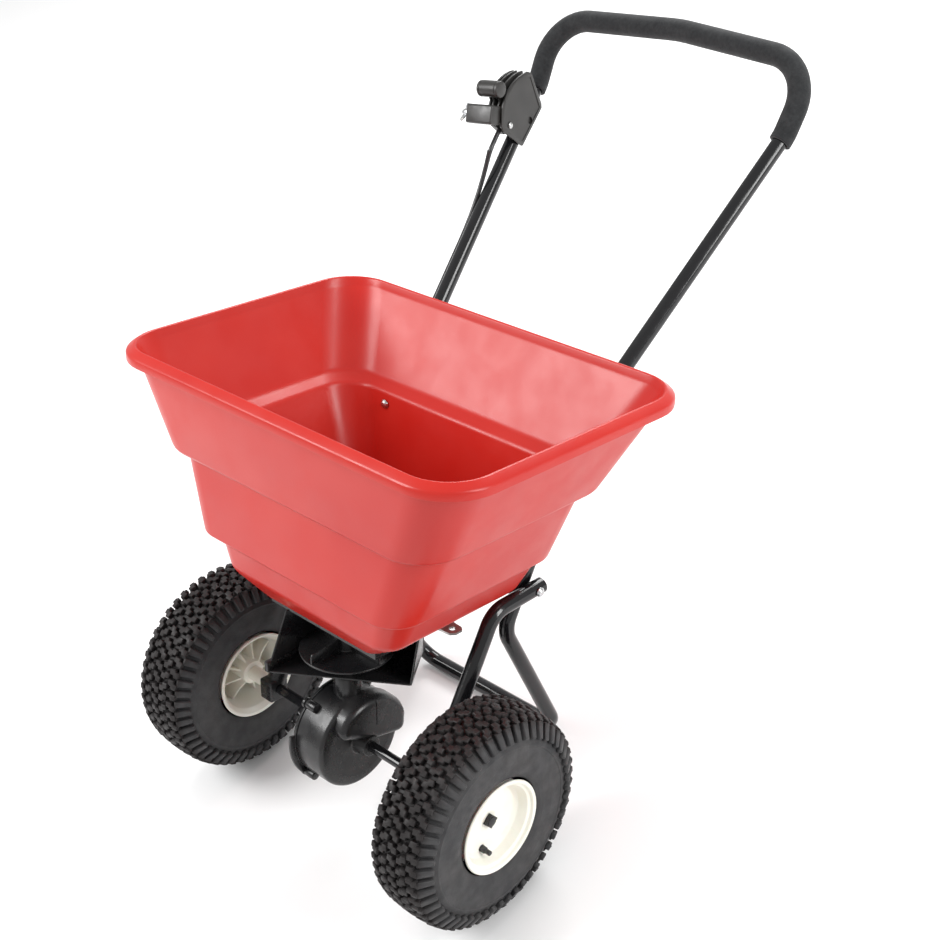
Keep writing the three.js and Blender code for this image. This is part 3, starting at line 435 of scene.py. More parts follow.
def together(*parts):
    """All the parts in one bmesh."""
    whole = bmesh.new()
    for part in parts:
        mesh = bpy.data.meshes.new("part")
        part.to_mesh(mesh)
        part.free()
        whole.from_mesh(mesh)
        bpy.data.meshes.remove(mesh)
    return whole


def combined(operation, base, tools):
    """Base joined with or cut by the tools."""
    face_outwards(base)
    stock = to_object("stock", base)
    helpers = []
    for tool in tools:
        face_outwards(tool)
        helpers.append(to_object("tool", tool))
        modifier = stock.modifiers.new("work", "BOOLEAN")
        modifier.operation = operation
        modifier.solver = "EXACT"
        modifier.object = helpers[-1]
    bpy.context.view_layer.update()
    seen = stock.evaluated_get(bpy.context.evaluated_depsgraph_get())
    mesh = bpy.data.meshes.new_from_object(seen)
    result = bmesh.new()
    result.from_mesh(mesh)
    bpy.data.meshes.remove(mesh)
    for helper in [stock, *helpers]:
        spare = helper.data
        bpy.data.objects.remove(helper)
        bpy.data.meshes.remove(spare)
    bmesh.ops.remove_doubles(result, verts=result.verts, dist=1e-6)
    return result


def cut(base, *tools):
    return combined("DIFFERENCE", base, tools)


def fused(base, *tools):
    return combined("UNION", base, tools)


# %% [markdown]
# Corners of drawn outlines are given with the point, as a radius, and become arcs. The same helper serves
# profiles that are turned and outlines that become plates.


# %% Outlines, turning and plates
def rounded(outline, steps=5, closed=True):
    """Outline points (x, y) or (x, y, radius), with each radius drawn as an arc."""
    points = [Vector(point[:2]) for point in outline]
    radii = [point[2] if len(point) > 2 else 0 for point in outline]
    out = []
    count = len(points)
    for i, (corner, radius) in enumerate(zip(points, radii)):
        if not radius or (not closed and i in (0, count - 1)):
            out.append(corner)
            continue
        before = points[i - 1] - corner
        after = points[(i + 1) % count] - corner
        half = before.angle(after) / 2
        reach = min(radius / math.tan(half), before.length * 0.49, after.length * 0.49)
        radius = reach * math.tan(half)
        start = corner + before.normalized() * reach
        stop = corner + after.normalized() * reach
        centre = corner + (before.normalized() + after.normalized()).normalized() * (radius / math.sin(half))
        sweep = (start - centre).angle_signed(stop - centre)
        for k in range(steps + 1):
            arm = start - centre
            arm.rotate(Matrix.Rotation(-sweep * k / steps, 2))
            out.append(centre + arm)
    return out


def arc(centre, radius, start, stop, steps):
    """Points round a centre, angles in radians."""
    angles = [start + (stop - start) * k / steps for k in range(steps + 1)]
    return [(centre[0] + radius * math.cos(a), centre[1] + radius * math.sin(a)) for a in angles]


def turned(outline, steps=72, closed=True, arcs=5):
    """A profile of (along, radius) spun about the X axis."""
    bm = bmesh.new()
    verts = [bm.verts.new((p.x, p.y, 0)) for p in rounded(outline, arcs, closed)]
    edges = [bm.edges.new(pair) for pair in zip(verts, verts[1:])]
    if closed:
        edges.append(bm.edges.new((verts[-1], verts[0])))
    bmesh.ops.spin(bm, geom=verts + edges, cent=(0, 0, 0), axis=(1, 0, 0), dvec=(0, 0, 0),
                   angle=math.tau, steps=steps, use_merge=True, use_duplicate=False)
    bmesh.ops.remove_doubles(bm, verts=bm.verts, dist=1e-6)
    return bm


SAME = 1e-7


def sheet_of(outline, thick, edge=0.0, arcs=5, segments=2):
    """A plate: the outline in X and Y, raised along Z, its rims rounded by edge."""
    bm = bmesh.new()
    verts = [bm.verts.new((p.x, p.y, 0)) for p in rounded(outline, arcs)]
    bottom = bm.faces.new(verts)
    raised = bmesh.ops.extrude_face_region(bm, geom=[bottom])["geom"]
    bmesh.ops.translate(bm, verts=only(bmesh.types.BMVert, raised), vec=(0, 0, thick))
    bmesh.ops.recalc_face_normals(bm, faces=bm.faces)
    if edge:
        soften(bm, level_edges(bm), edge, segments)
    return bm


def only(kind, items):
    """The items of one bmesh kind."""
    return [item for item in items if isinstance(item, kind)]


def level_edges(bm):
    """The edges that lie flat, which are the rims of a plate or a rod."""
    return [e for e in bm.edges if abs(e.verts[0].co.z - e.verts[1].co.z) < SAME]


def soften(bm, edges, size, segments=2):
    bmesh.ops.bevel(bm, geom=edges, offset=size, offset_type="OFFSET", segments=segments, profile=0.5,
                    affect="EDGES", clamp_overlap=True, material=-1)


def moved(bm, matrix):
    bm.transform(matrix)
    return bm


# %% [markdown]
# Blocks and rods get a small round on their edges, because a real edge always catches a thin line of light.
# A rod can be drawn out of many sides or six, so a hexagon nut is a rod with a hole.


# %% Blocks, rods and nuts
def block(low, high, edge=0.0008, segments=2):
    low, high = Vector(low), Vector(high)
    size = high - low
    bm = bmesh.new()
    place = Matrix.Translation((low + high) / 2) @ Matrix.Diagonal((*size, 1))
    bmesh.ops.create_cube(bm, size=1, matrix=place)
    soften(bm, bm.edges[:], edge, segments)
    return bm


def along(start, stop):
    """A matrix at start, with Z towards stop."""
    way = Vector(stop) - Vector(start)
    return Matrix.Translation(Vector(start)) @ way.to_track_quat("Z", "X").to_matrix().to_4x4()


def rod(start, stop, radius, sides=32, edge=0.0006, tip=None):
    """A cylinder between two points, or a cone when the tip has its own radius."""
    length = (Vector(stop) - Vector(start)).length
    bm = bmesh.new()
    bmesh.ops.create_cone(bm, cap_ends=True, segments=sides, radius1=radius,
                          radius2=radius if tip is None else tip, depth=length)
    bmesh.ops.translate(bm, verts=bm.verts, vec=(0, 0, length / 2))
    if edge:
        soften(bm, level_edges(bm), edge)
    return moved(bm, along(start, stop))


def nut(seat, way, radius=0.006, high=0.005, bore=0.0032):
    way = Vector(way).normalized()
    seat = Vector(seat)
    body = rod(seat, seat + way * high, radius, sides=6, edge=0.0006)
    hole = rod(seat - way * high, seat + way * high * 2, bore, sides=24, edge=0)
    return cut(body, hole)


def domed_bolt(seat, way, head=0.006, high=0.0036, shank=0.003, length=0.02):
    """A round-headed bolt whose head stands off the seat, against the way it goes in."""
    profile = [(-high, 0), (-high, head * 0.55, head * 0.5), (-high * 0.25, head, head * 0.12),
               (0, head, 0.0003), (0, shank), (length - 0.001, shank), (length, shank - 0.001), (length, 0)]
    bm = turned(profile, steps=32, closed=False)
    way = Vector(way).normalized()
    return moved(bm, Matrix.Translation(Vector(seat)) @ way.to_track_quat("X", "Z").to_matrix().to_4x4())


# %% [markdown]
# A bent tube is made the way a tube bender does it: a ring is pushed straight on, then swung round a centre,
# then pushed straight on again. The end faces are inset and pushed in, so an open end shows its wall.


# %% Bent tubes
def push(bm, ring, way):
    grown = bmesh.ops.extrude_edge_only(bm, edges=ring)["geom"]
    verts = only(bmesh.types.BMVert, grown)
    bmesh.ops.translate(bm, verts=verts, vec=way)
    fresh = set(verts)
    return [e for e in only(bmesh.types.BMEdge, grown) if fresh.issuperset(e.verts)]


def swing(bm, ring, centre, axis, angle, steps):
    turned_ring = bmesh.ops.spin(bm, geom=ring, cent=centre, axis=axis, dvec=(0, 0, 0), angle=angle,
                                 steps=steps, use_merge=False, use_duplicate=False)
    return only(bmesh.types.BMEdge, turned_ring["geom_last"])


def tube(stops, radius, sides=28, wall=0.0, depth=0.012, fineness=0.12):
    """A tube along (point, bend radius) stops. A wall makes its ends open, to the depth."""
    points = [Vector(point) for point, _ in stops]
    bm = bmesh.new()
    bmesh.ops.create_circle(bm, cap_ends=True, radius=radius, segments=sides,
                            matrix=along(points[0], points[1]))
    ring = bm.edges[:]
    caps = bm.faces[:]
    here = points[0]
    for i in range(1, len(points) - 1):
        corner = points[i]
        inwards = (points[i - 1] - corner).normalized()
        onwards = (points[i + 1] - corner).normalized()
        half = inwards.angle(onwards) / 2
        bend = stops[i][1]
        start = corner + inwards * bend / math.tan(half)
        centre = corner + (inwards + onwards).normalized() * bend / math.sin(half)
        sweep = math.pi - 2 * half
        ring = push(bm, ring, start - here)
        ring = swing(bm, ring, centre, onwards.cross(inwards).normalized(), sweep,
                     max(3, math.ceil(sweep / fineness)))
        here = corner + onwards * bend / math.tan(half)
    ring = push(bm, ring, points[-1] - here)
    caps += bmesh.ops.contextual_create(bm, geom=ring)["faces"]
    bmesh.ops.recalc_face_normals(bm, faces=bm.faces)
    for cap in caps if wall else ():
        bmesh.ops.inset_region(bm, faces=[cap], thickness=wall, use_even_offset=True)
        bmesh.ops.inset_region(bm, faces=[cap], thickness=0.0001, depth=-depth, use_even_offset=True)
    return bm


# %% [markdown]
# ## The hopper
# The hopper is one moulding: a tapering tub with two shelves, generous corners and a rolled rim. It could be
# a box with bevels, but the corner radius, the slopes and the shelves all change with height, so it is
# lofted: rounded rings from the floor up the outside, over the rim and down the inside, bridged one to the
# next. The ring edges are then bevelled, which gives the soft highlight along each step.

# %% Hopper sections
hopper_low, hopper_high = level_box("hopper")
HOPPER_W = hopper_high.x - hopper_low.x
HOPPER_D = hopper_high.y - hopper_low.y
HOPPER_H = hopper_high.z - hopper_low.z
HOPPER_Y = (hopper_low.y + hopper_high.y) / 2
HOPPER_Z = hopper_low.z
WALL = 0.0034
RIM_CORNER = 0.064

# half width, front and rear as shares of the half sizes, corner radius, height as a share
SECTIONS = {
    "plate": (0.345, -0.63, 0.18, 0.014, 0),
    "foot": (0.51, -0.741, 0.39, 0.026, 0.112),
    "lower": (0.57, -0.76, 0.512, 0.034, 0.252),
    "step": (0.618, -0.842, 0.528, 0.038, 0.27),
    "waist": (0.738, -0.82, 0.606, 0.046, 0.578),
    "ledge": (0.795, -0.886, 0.688, 0.052, 0.605),
    "mouth": (0.957, -0.941, 0.941, 0.057, 0.955),
}


def section(name, inset=0.0, lift=0.0):
    """half width, front y, rear y, corner radius, z"""
    wide, front, rear, corner, rise = SECTIONS[name]
    return (wide * HOPPER_W / 2 - inset, HOPPER_Y + front * HOPPER_D / 2 + inset,
            HOPPER_Y + rear * HOPPER_D / 2 - inset, max(corner - inset, 0.004),
            HOPPER_Z + rise * HOPPER_H + lift)


def rim(inset, drop):
    return (HOPPER_W / 2 - inset, hopper_low.y + inset, hopper_high.y - inset, RIM_CORNER - inset,
            hopper_high.z - drop)


def rounded_ring(bm, half, front, rear, corner, z, steps=10):
    """A level ring with four swept corners, as a loop of edges."""
    before = set(bm.edges)
    first = last = None
    for k, (x, y) in enumerate(((half, rear), (-half, rear), (-half, front), (half, front))):
        centre = Vector((x - math.copysign(corner, x), y - corner if y == rear else y + corner, z))
        quarter = k * math.pi / 2
        start = centre + corner * Vector((round(math.cos(quarter)), round(math.sin(quarter)), 0))
        vert = bm.verts.new(start)
        if last is None:
            first = vert
        else:
            bm.edges.new((last, vert))
        spun = bmesh.ops.spin(bm, geom=[vert], cent=centre, axis=(0, 0, 1), dvec=(0, 0, 0),
                              angle=math.pi / 2, steps=steps, use_merge=False, use_duplicate=False)
        last = only(bmesh.types.BMVert, spun["geom_last"])[0]
    bm.edges.new((last, first))
    return [edge for edge in bm.edges if edge not in before]


# %% Loft the hopper
LIFTS = {"lower": 0.0026, "step": 0.0026, "waist": 0.012, "ledge": 0.013}
PORT_R = 0.0095
PORTS = [(-0.025, 0.036), (0, 0.044), (0.025, 0.036)]
shaft_low, shaft_high = level_box("impeller_shaft")
SHAFT_R = (shaft_high.x - shaft_low.x) / 2

hopper_rings = [  # each ring, and the round its edge gets
    ((*section("plate", 0.004)[:4], HOPPER_Z), 0), (section("plate", 0, 0.002), 0.0015),
    (section("foot"), 0.006), (section("lower"), 0.003), (section("step"), 0.0025),
    (section("waist"), 0.003), (section("ledge"), 0.0035), (section("mouth"), 0.002),
    (rim(0.0095, 0.0072), 0.0015), (rim(0.0030, 0.0078), 0.001), (rim(0.0026, 0.0160), 0.0006),
    (rim(0, 0.0165), 0.0006), (rim(0, 0.0068), 0.0022), (rim(0.0078, 0.0014), 0.001),
    (rim(0.0098, 0), 0.0009), (rim(0.0122, 0.0006), 0.0012), (section("mouth", WALL, 0.002), 0.002),
    (section("ledge", WALL, LIFTS["ledge"]), 0.004), (section("waist", WALL, LIFTS["waist"]), 0.004),
    (section("step", WALL, LIFTS["step"]), 0.003), (section("lower", WALL, LIFTS["lower"]), 0.003),
    (section("foot", WALL + 0.002, 0.0024), 0.006), (section("plate", 0.004, 0.0042), 0.002),
]


def loft_hopper():
    bm = bmesh.new()
    loops = [(rounded_ring(bm, *ring), size) for ring, size in hopper_rings]
    for (lower, _), (upper, _) in zip(loops, loops[1:]):
        bmesh.ops.bridge_loops(bm, edges=lower + upper)
    for ends in (loops[0][0], loops[-1][0]):
        bmesh.ops.contextual_create(bm, geom=ends)
    bmesh.ops.recalc_face_normals(bm, faces=bm.faces)
    for loop, size in loops:
        edges = [edge for edge in loop if edge.is_valid]
        if size:
            soften(bm, edges, size, 3)
    return bm


def bore(x, y, z, radius, reach=0.012):
    return rod((x, y, z - reach), (x, y, z + reach), radius, sides=32, edge=0)


hopper = cut(loft_hopper(), bore(0, 0, HOPPER_Z, SHAFT_R + 0.0008),
             *[bore(x, y, HOPPER_Z, PORT_R) for x, y in PORTS])
print("hopper faces:", len(hopper.faces))
show("hopper_tub", hopper, "hopper_red", "frame", "hopper", crease=30)

# %% [markdown]
# ## Tube frame
# Four tubes carry everything: a stand bent from one length that hugs the back of the hopper and makes the
# foot bar, two struts from the axle, and the handle. They are powder-coated, so they read as black glass with
# long highlights. Smooth bends matter more than anything else here.

# %% Frame lines
TUBE_R = 0.0095
TUBE_WALL = 0.0016
STAND_X = 0.1195
STRUT_X = 0.1395
GAP = 0.0003  # between pieces that touch
ledge_rear, ledge_z = section("ledge")[2], section("ledge")[4]
step_rear, step_z = section("step")[2], section("step")[4]
foot_z = section("foot")[4]

SHOULDER = Vector((0.134, ledge_rear + 0.011, ledge_z + 0.0035))
KNEE = Vector((STAND_X, step_rear + 0.018, step_z))
ANKLE = Vector((STAND_X, step_rear - 0.038, step_z - 0.110))
HEEL = Vector((STAND_X, 0.2439, -0.053))
HANDLE_RISE = math.radians(47.5)
HANDLE_SPLAY = 0.172
HANDLE_WAY = Vector((HANDLE_SPLAY, 1 / math.tan(HANDLE_RISE), 1)).normalized()
STUB = 0.040
STRAIGHT = 0.402
JOINT = SHOULDER + HANDLE_WAY * STUB
FLARE = JOINT + HANDLE_WAY * STRAIGHT
TOP_CORNER = FLARE + Vector((0.007, 0.038, 0.078))
TOP_MIDDLE = Vector((0, TOP_CORNER.y + 0.005, TOP_CORNER.z + 0.011))
FOAM_R = 0.0136


def mirrored(point):
    return Vector((-point.x, point.y, point.z))


def both_sides(side, between=()):
    """Stops of one side, then what lies between, then the same stops mirrored and turned round."""
    return [*side, *between, *[(mirrored(p), r) for p, r in reversed(side)]]


# %% Stand, handle and grip
stand_side = [(JOINT, 0), (SHOULDER, 0.045), (KNEE, 0.090), (ANKLE, 0.034), (HEEL, 0.030)]
stand = tube(both_sides(stand_side), TUBE_R, wall=TUBE_WALL)
show("stand_tube", stand, "black_paint", "frame", "stand_frame")

handle_corners = [(FLARE, 0.055), (TOP_CORNER, 0.056)]
handle_crown = [(TOP_MIDDLE, 0.2)]
handle_side = [(JOINT + HANDLE_WAY * 0.0005, 0), *handle_corners]
handle = tube(both_sides(handle_side, handle_crown), TUBE_R, wall=TUBE_WALL)
show("handle_tube", handle, "black_paint", "frame", "handle")


def foam_sleeve(sides=28):
    """A fat tube over the top of the handle, with its two end edges well rounded."""
    side = [(FLARE - HANDLE_WAY * 0.009, 0), *handle_corners]
    bm = tube(both_sides(side, handle_crown), FOAM_R, sides, wall=FOAM_R - TUBE_R - 0.0006, depth=0.004)
    facet = 2 * FOAM_R * math.sin(math.pi / sides)
    sharp = [e for e in bm.edges if len(e.link_faces) == 2 and e.calc_face_angle() > math.radians(70)]
    ends = [e for e in sharp if abs(e.calc_length() - facet) < 0.0002]
    soften(bm, ends, 0.0016, 3)
    return bm


show("foam_sleeve", foam_sleeve(), "grip_foam", "frame", "foam_grip")

# %% Struts
STRUT_PIN_Z = foot_z - 0.012
pin_share = (STRUT_PIN_Z - ANKLE.z) / (KNEE.z - ANKLE.z)
STRUT_PIN_Y = ANKLE.y + (KNEE.y - ANKLE.y) * pin_share
STRUT_TOP = Vector((STRUT_X, 0.098, STRUT_PIN_Z - 0.003))
STRUT_WAY = Vector((0, STRUT_TOP.y, STRUT_TOP.z)).normalized()
STRUT_FOOT = 0.015  # from the axle line to the lower end
SIDES = (("left", 1), ("right", -1))


for side, s in SIDES:
    strut_path = [(Vector((s * STRUT_X, STRUT_WAY.y * STRUT_FOOT, STRUT_WAY.z * STRUT_FOOT)), 0),
                  (Vector((s * STRUT_X, STRUT_TOP.y, STRUT_TOP.z)), 0.030),
                  (Vector((s * STRUT_X, STRUT_PIN_Y + 0.013, STRUT_PIN_Z + 0.0005)), 0)]
    strut = tube(strut_path, TUBE_R, wall=TUBE_WALL)
    show(f"strut_tube_{side}", strut, "black_paint", "frame", f"strut_{side}")
    outer_seat = (s * (STRUT_X + TUBE_R + GAP), STRUT_PIN_Y, STRUT_PIN_Z)
    pin = domed_bolt(outer_seat, (-s, 0, 0), head=0.006, high=0.004, length=0.046)
    show(f"strut_pin_{side}", pin, "zinc", "frame", f"strut_bolt_{side}")
    inner_seat = (s * (STAND_X - TUBE_R - GAP), STRUT_PIN_Y, STRUT_PIN_Z)
    show(f"strut_lock_{side}", nut(inner_seat, (-s, 0, 0)), "zinc", "frame", f"strut_nut_{side}")

# %% [markdown]
# ## Wheels
# Each wheel is a moulded rim and a pneumatic tyre. The rim is turned from one profile: a lip that holds the
# bead, a deep dish and a flat web on the outside, and on the inside a hub stiffened by gussets. The tyre is a
# turned carcass with rows of separate tread blocks standing on it: real blocks, because the outline of the
# tyre shows them, and no bump map can do that.

# %% Wheel sizes
TYRE_W = tyre_high.x - tyre_low.x
TRACK = tyre_high.x + tyre_low.x
RIM_R = TYRE_R * 0.438
AXLE_R = 0.00635
AXLE_BORE = AXLE_R + 0.00025
HUB_OUT = 0.020
HUB_IN = -0.030
VALVE = Vector((0, -0.009, -0.035))
RIB_THICK = 0.0026


def wheel_place(s):
    """Wheel space has its outer face towards +X; the right wheel is turned about."""
    spot = Matrix.Translation((s * TRACK / 2, 0, 0))
    return LEVEL @ (spot if s > 0 else spot @ Matrix.Rotation(math.pi, 4, "Z"))


# %% Rims
def rim_body():
    """The rim's profile, from the hub's outer end round the outside and back along the inside."""
    f = TYRE_W / 2
    bead = RIM_R - 0.0056
    profile = [
        (HUB_OUT, AXLE_BORE), (HUB_OUT, 0.0115, 0.001), (HUB_OUT - 0.001, 0.014, 0.001),
        (HUB_OUT - 0.001, 0.041, 0.004), (HUB_OUT + 0.003, 0.0455, 0.003), (f - 0.007, 0.0485, 0.002),
        (f - 0.0055, 0.0518, 0.0012), (f - 0.002, 0.0528, 0.0012), (f - 0.0008, RIM_R - 0.0012, 0.001),
        (f - 0.003, RIM_R + 0.0002, 0.001), (f - 0.006, RIM_R - 0.003, 0.002), (f - 0.012, bead, 0.002),
        (0.012 - f, bead, 0.002), (0.006 - f, RIM_R - 0.003, 0.002), (0.003 - f, RIM_R + 0.0002, 0.001),
        (0.0008 - f, RIM_R - 0.0012, 0.001), (0.002 - f, 0.0528, 0.001), (0.009 - f, 0.0485, 0.002),
        (HUB_OUT - 0.008, 0.046, 0.003), (HUB_OUT - 0.005, 0.041, 0.003), (HUB_OUT - 0.005, 0.0165, 0.002),
        (HUB_IN, 0.0155, 0.001), (HUB_IN, AXLE_BORE)]
    return turned(profile, steps=96)


def gussets(count=8):
    hub, wall, web = 0.0145, 0.0465, HUB_OUT - 0.0045
    outline = [(HUB_IN + 0.006, hub), (web, hub), (web, wall), (HUB_OUT - 0.028, wall),
               (HUB_OUT - 0.034, 0.030, 0.006)]
    ribs = []
    for k in range(count):
        rib = moved(sheet_of(outline, RIB_THICK, edge=0.0005), Matrix.Translation((0, 0, -RIB_THICK / 2)))
        ribs.append(moved(rib, Matrix.Rotation(math.tau * (k + 0.5) / count, 4, "X")))
    return ribs


def valve_at(s):
    return Vector((VALVE.x, s * VALVE.y, VALVE.z))


def valve_stem(s):
    profile = [(HUB_OUT - 0.007, 0), (HUB_OUT - 0.007, 0.0041, 0.0005), (HUB_OUT + 0.0045, 0.0040, 0.001),
               (HUB_OUT + 0.0065, 0.0030, 0.0005), (HUB_OUT + 0.0125, 0.0030, 0.0008), (HUB_OUT + 0.013, 0)]
    return moved(turned(profile, steps=28, closed=False), Matrix.Translation(valve_at(s)))


# %% Tyres
BLOCKS_ROUND = 54
EDGE_ROW = 0.0262  # how far the outermost row is from the middle
# each row's place across the tyre, and how far its lugs lean over
TREAD_ROWS = [(-EDGE_ROW, 0.26), (-0.0134, 0.11), (0.0, 0.0), (0.0134, -0.11), (EDGE_ROW, -0.26)]
LUG_MM = [(-6.6, -5.2), (0.6, -5.6), (1.6, -2.2), (6.6, -1.6), (6.2, 5.2), (-0.8, 5.6), (-1.8, 2.0),
          (-6.2, 1.4)]
LUG_HIGH = 0.0072
SIDE_LUG_HIGH = 0.0062
SIDE_LUG_LEAN = 1.05
GROOVE = 0.0062


def carcass():
    """Half profiles as (across, share of the way up the sidewall), each mirrored to the other half."""
    w = TYRE_W / 2
    tall = TYRE_R - RIM_R
    outer = [(w - 0.0050, 0.02, 0.001), (w - 0.0022, 0.10, 0.002), (w - 0.0012, 0.16, 0.002),
             (w - 0.0003, 0.34, 0.010), (w - 0.0010, 0.545), (w - 0.0003, 0.555, 0.0004),
             (w - 0.0003, 0.575, 0.0004), (w - 0.0012, 0.59), (w - 0.0052, 0.72, 0.008),
             (w - 0.0118, 0.845, 0.006), (w - 0.019, 0.892, 0.006)]
    inner = [(w - 0.009, 0.05), (w - 0.0075, 0.3, 0.006), (w - 0.0095, 0.6, 0.010), (w - 0.017, 0.80, 0.006)]

    def scaled(rows, flip):
        return [(flip * row[0], RIM_R + tall * row[1], *row[2:]) for row in rows]

    crown = [(0, TYRE_R - GROOVE, 0.06)]
    profile = [*scaled(outer, 1), *crown, *reversed(scaled(outer, -1)),
               *scaled(inner, -1), *reversed(scaled(inner, 1))]
    return turned(profile, steps=108, arcs=4)


def lug_at(angle, x, radius, tilt, skew=0.0):
    """A matrix on the tyre's surface: Z outwards, X across, Y round."""
    spot = Matrix.Rotation(angle, 4, "X") @ Matrix.Translation((x, 0, radius))
    return spot @ Matrix.Rotation(tilt, 4, "Y") @ Matrix.Rotation(skew, 4, "Z")


def tread():
    """Rows of kinked lugs, each row a mirror of the last, and one long lug per pitch on each shoulder."""
    lugs = []
    pitch = math.tau / BLOCKS_ROUND
    for row, (x, lean_over) in enumerate(TREAD_ROWS):
        top = TYRE_R - 0.0004 - 0.0020 * (abs(x) / EDGE_ROW) ** 2
        kink = 1 if row % 2 else -1
        outline = [(a * 0.001 * kink, b * 0.001) for a, b in LUG_MM]
        one = sheet_of(outline, LUG_HIGH, edge=0.0008, segments=1)
        for k in range(BLOCKS_ROUND):
            angle = (k + 0.5 * (row % 2)) * pitch
            lugs.append(moved(one.copy(), lug_at(angle, x, top - LUG_HIGH, -lean_over, 0.12 * (-1) ** k)))
        one.free()
    wide_end, narrow_end, corner = 0.0046, 0.0034, 0.001
    for flip in (1, -1):
        outline = [(-flip * 0.0102, -wide_end, corner), (flip * 0.0098, -narrow_end, corner),
                   (flip * 0.0098, narrow_end, corner), (-flip * 0.0102, wide_end, corner)]
        one = sheet_of(outline, SIDE_LUG_HIGH, edge=0.001, segments=1, arcs=1)
        x = flip * (TYRE_W / 2 - 0.0078)
        for k in range(BLOCKS_ROUND):
            spot = lug_at((k + 0.25) * pitch, x, TYRE_R - 0.0176, flip * SIDE_LUG_LEAN)
            lugs.append(moved(one.copy(), spot))
        one.free()
    return together(*lugs)


for side, s in SIDES:
    body = "drive_axle" if s > 0 else "free_wheel"
    web, through = valve_at(s) + Vector((HUB_OUT, 0, 0)), Vector((0.012, 0, 0))
    hole = rod(web - through, web + through, 0.0046, edge=0)
    rim_whole = together(cut(rim_body(), hole), *gussets())
    show(f"rim_moulding_{side}", rim_whole, "rim_cream", body, f"rim_{side}", place=wheel_place(s))
    show(f"valve_stem_{side}", valve_stem(s), "valve_rubber", body, f"valve_{side}", place=wheel_place(s))
    tyre = together(carcass(), tread())
    print("tyre faces:", len(tyre.faces))
    show(f"tyre_{side}_treaded", tyre, "tyre_rubber", body, f"tyre_{side}", place=wheel_place(s), crease=45)

# %% [markdown]
# ## Axle and its blocks
# The axle is a plain painted bar with a small square nut at each end, and it turns in moulded blocks that
# plug onto the feet of the struts. A sleeve keeps each wheel off its block.

# %% Axle, caps, sleeves and blocks
axle_end = level_box("axle")[1].x
show("axle_bar", rod((-axle_end, 0, 0), (axle_end, 0, 0), AXLE_R, sides=40, edge=0.0012), "black_paint",
     "drive_axle", "axle")


def drill(low_x, high_x, radius):
    """A cutter along the axle line."""
    return rod((low_x, 0, 0), (high_x, 0, 0), radius, sides=40, edge=0)


def axle_cap(side, s):
    low, high = level_box(f"axle_nut_{side}")
    near, far = (low.x, high.x) if s > 0 else (high.x, low.x)
    square = rod((near, 0, 0), (far, 0, 0), 0.0098, sides=4, edge=0.0009)
    return cut(square, drill(near - s * 0.01, far + s * 0.01, AXLE_R + 0.0001))


def axle_block(x):
    """The block round the axle and the socket that the strut plugs into."""
    def up_strut(distance):
        return x, STRUT_WAY.y * distance, STRUT_WAY.z * distance

    body = block((x - 0.011, -0.014, -0.016), (x + 0.011, 0.013, 0.012), edge=0.0022, segments=3)
    socket = rod((x, 0, 0), up_strut(0.026), 0.012, sides=40, edge=0.001)
    tube_hole = rod(up_strut(STRUT_FOOT - 0.0004), up_strut(0.06), TUBE_R + GAP, sides=40, edge=0)
    return cut(fused(body, socket), drill(x - 0.03, x + 0.03, AXLE_BORE), tube_hole)


for side, s in SIDES:
    show(f"axle_cap_{side}", axle_cap(side, s), "black_paint", "drive_axle", f"axle_nut_{side}")
    show(f"axle_bearing_{side}", axle_block(s * STRUT_X), "black_plastic", "frame", f"axle_block_{side}")
    low, high = level_box(f"axle_spacer_{side}")
    sleeve = turned([(low.x, AXLE_BORE), (low.x, 0.0095, 0.0006), (high.x, 0.0095, 0.0006),
                     (high.x, AXLE_BORE)], steps=40)
    show(f"axle_sleeve_{side}", sleeve, "rim_cream", "frame", f"axle_spacer_{side}")

# %% [markdown]
# ## Gearbox
# A drum of black plastic closed by a flanged cover, with a neck for the upright shaft, a boss for the axle,
# and a swollen half-moon on the outer face that makes room for the gears. Turned shapes and one rounded lobe
# are joined with a boolean, so the lobe melts into the drum as it does in a moulding.

# %% Gearbox sizes
GEARBOX_R = 0.062
CASE_LEFT = level_box("gearbox_case")[0].x
CASE_RIGHT = 0.022
CASE_WALL = 0.004
GEAR_BORE = AXLE_R + 0.0004
COVER_THICK = 0.005
FLOOR_Z = level_box("deflector")[0].z
SCREW_ANGLES = [math.radians(a) for a in (50, 130, 224, 318)]


def screw_spot(angle):
    reach = GEARBOX_R + 0.002
    return reach * math.cos(angle), reach * math.sin(angle)


# %% Gearbox case and cover
def sideways(bm, x):
    """A plate drawn in Y and Z and stood up at x."""
    turn = Matrix(((0, 0, 1, x), (1, 0, 0, 0), (0, 1, 0, 0), (0, 0, 0, 1)))
    return moved(bm, turn)


def lobe():
    outline = [*arc((0.004, 0.006), GEARBOX_R - 0.0045, 0.24, math.pi * 0.74, 20), (-0.046, 0.026, 0.018),
               (0.014, 0.002, 0.012), (0.058, -0.007, 0.013)]
    tall = 0.024
    bm = sheet_of(outline, tall)
    top = [e for e in bm.edges if all(abs(v.co.z - tall) < 1e-6 for v in e.verts)]
    soften(bm, top, 0.0105, 6)
    return sideways(bm, CASE_RIGHT - 0.006)


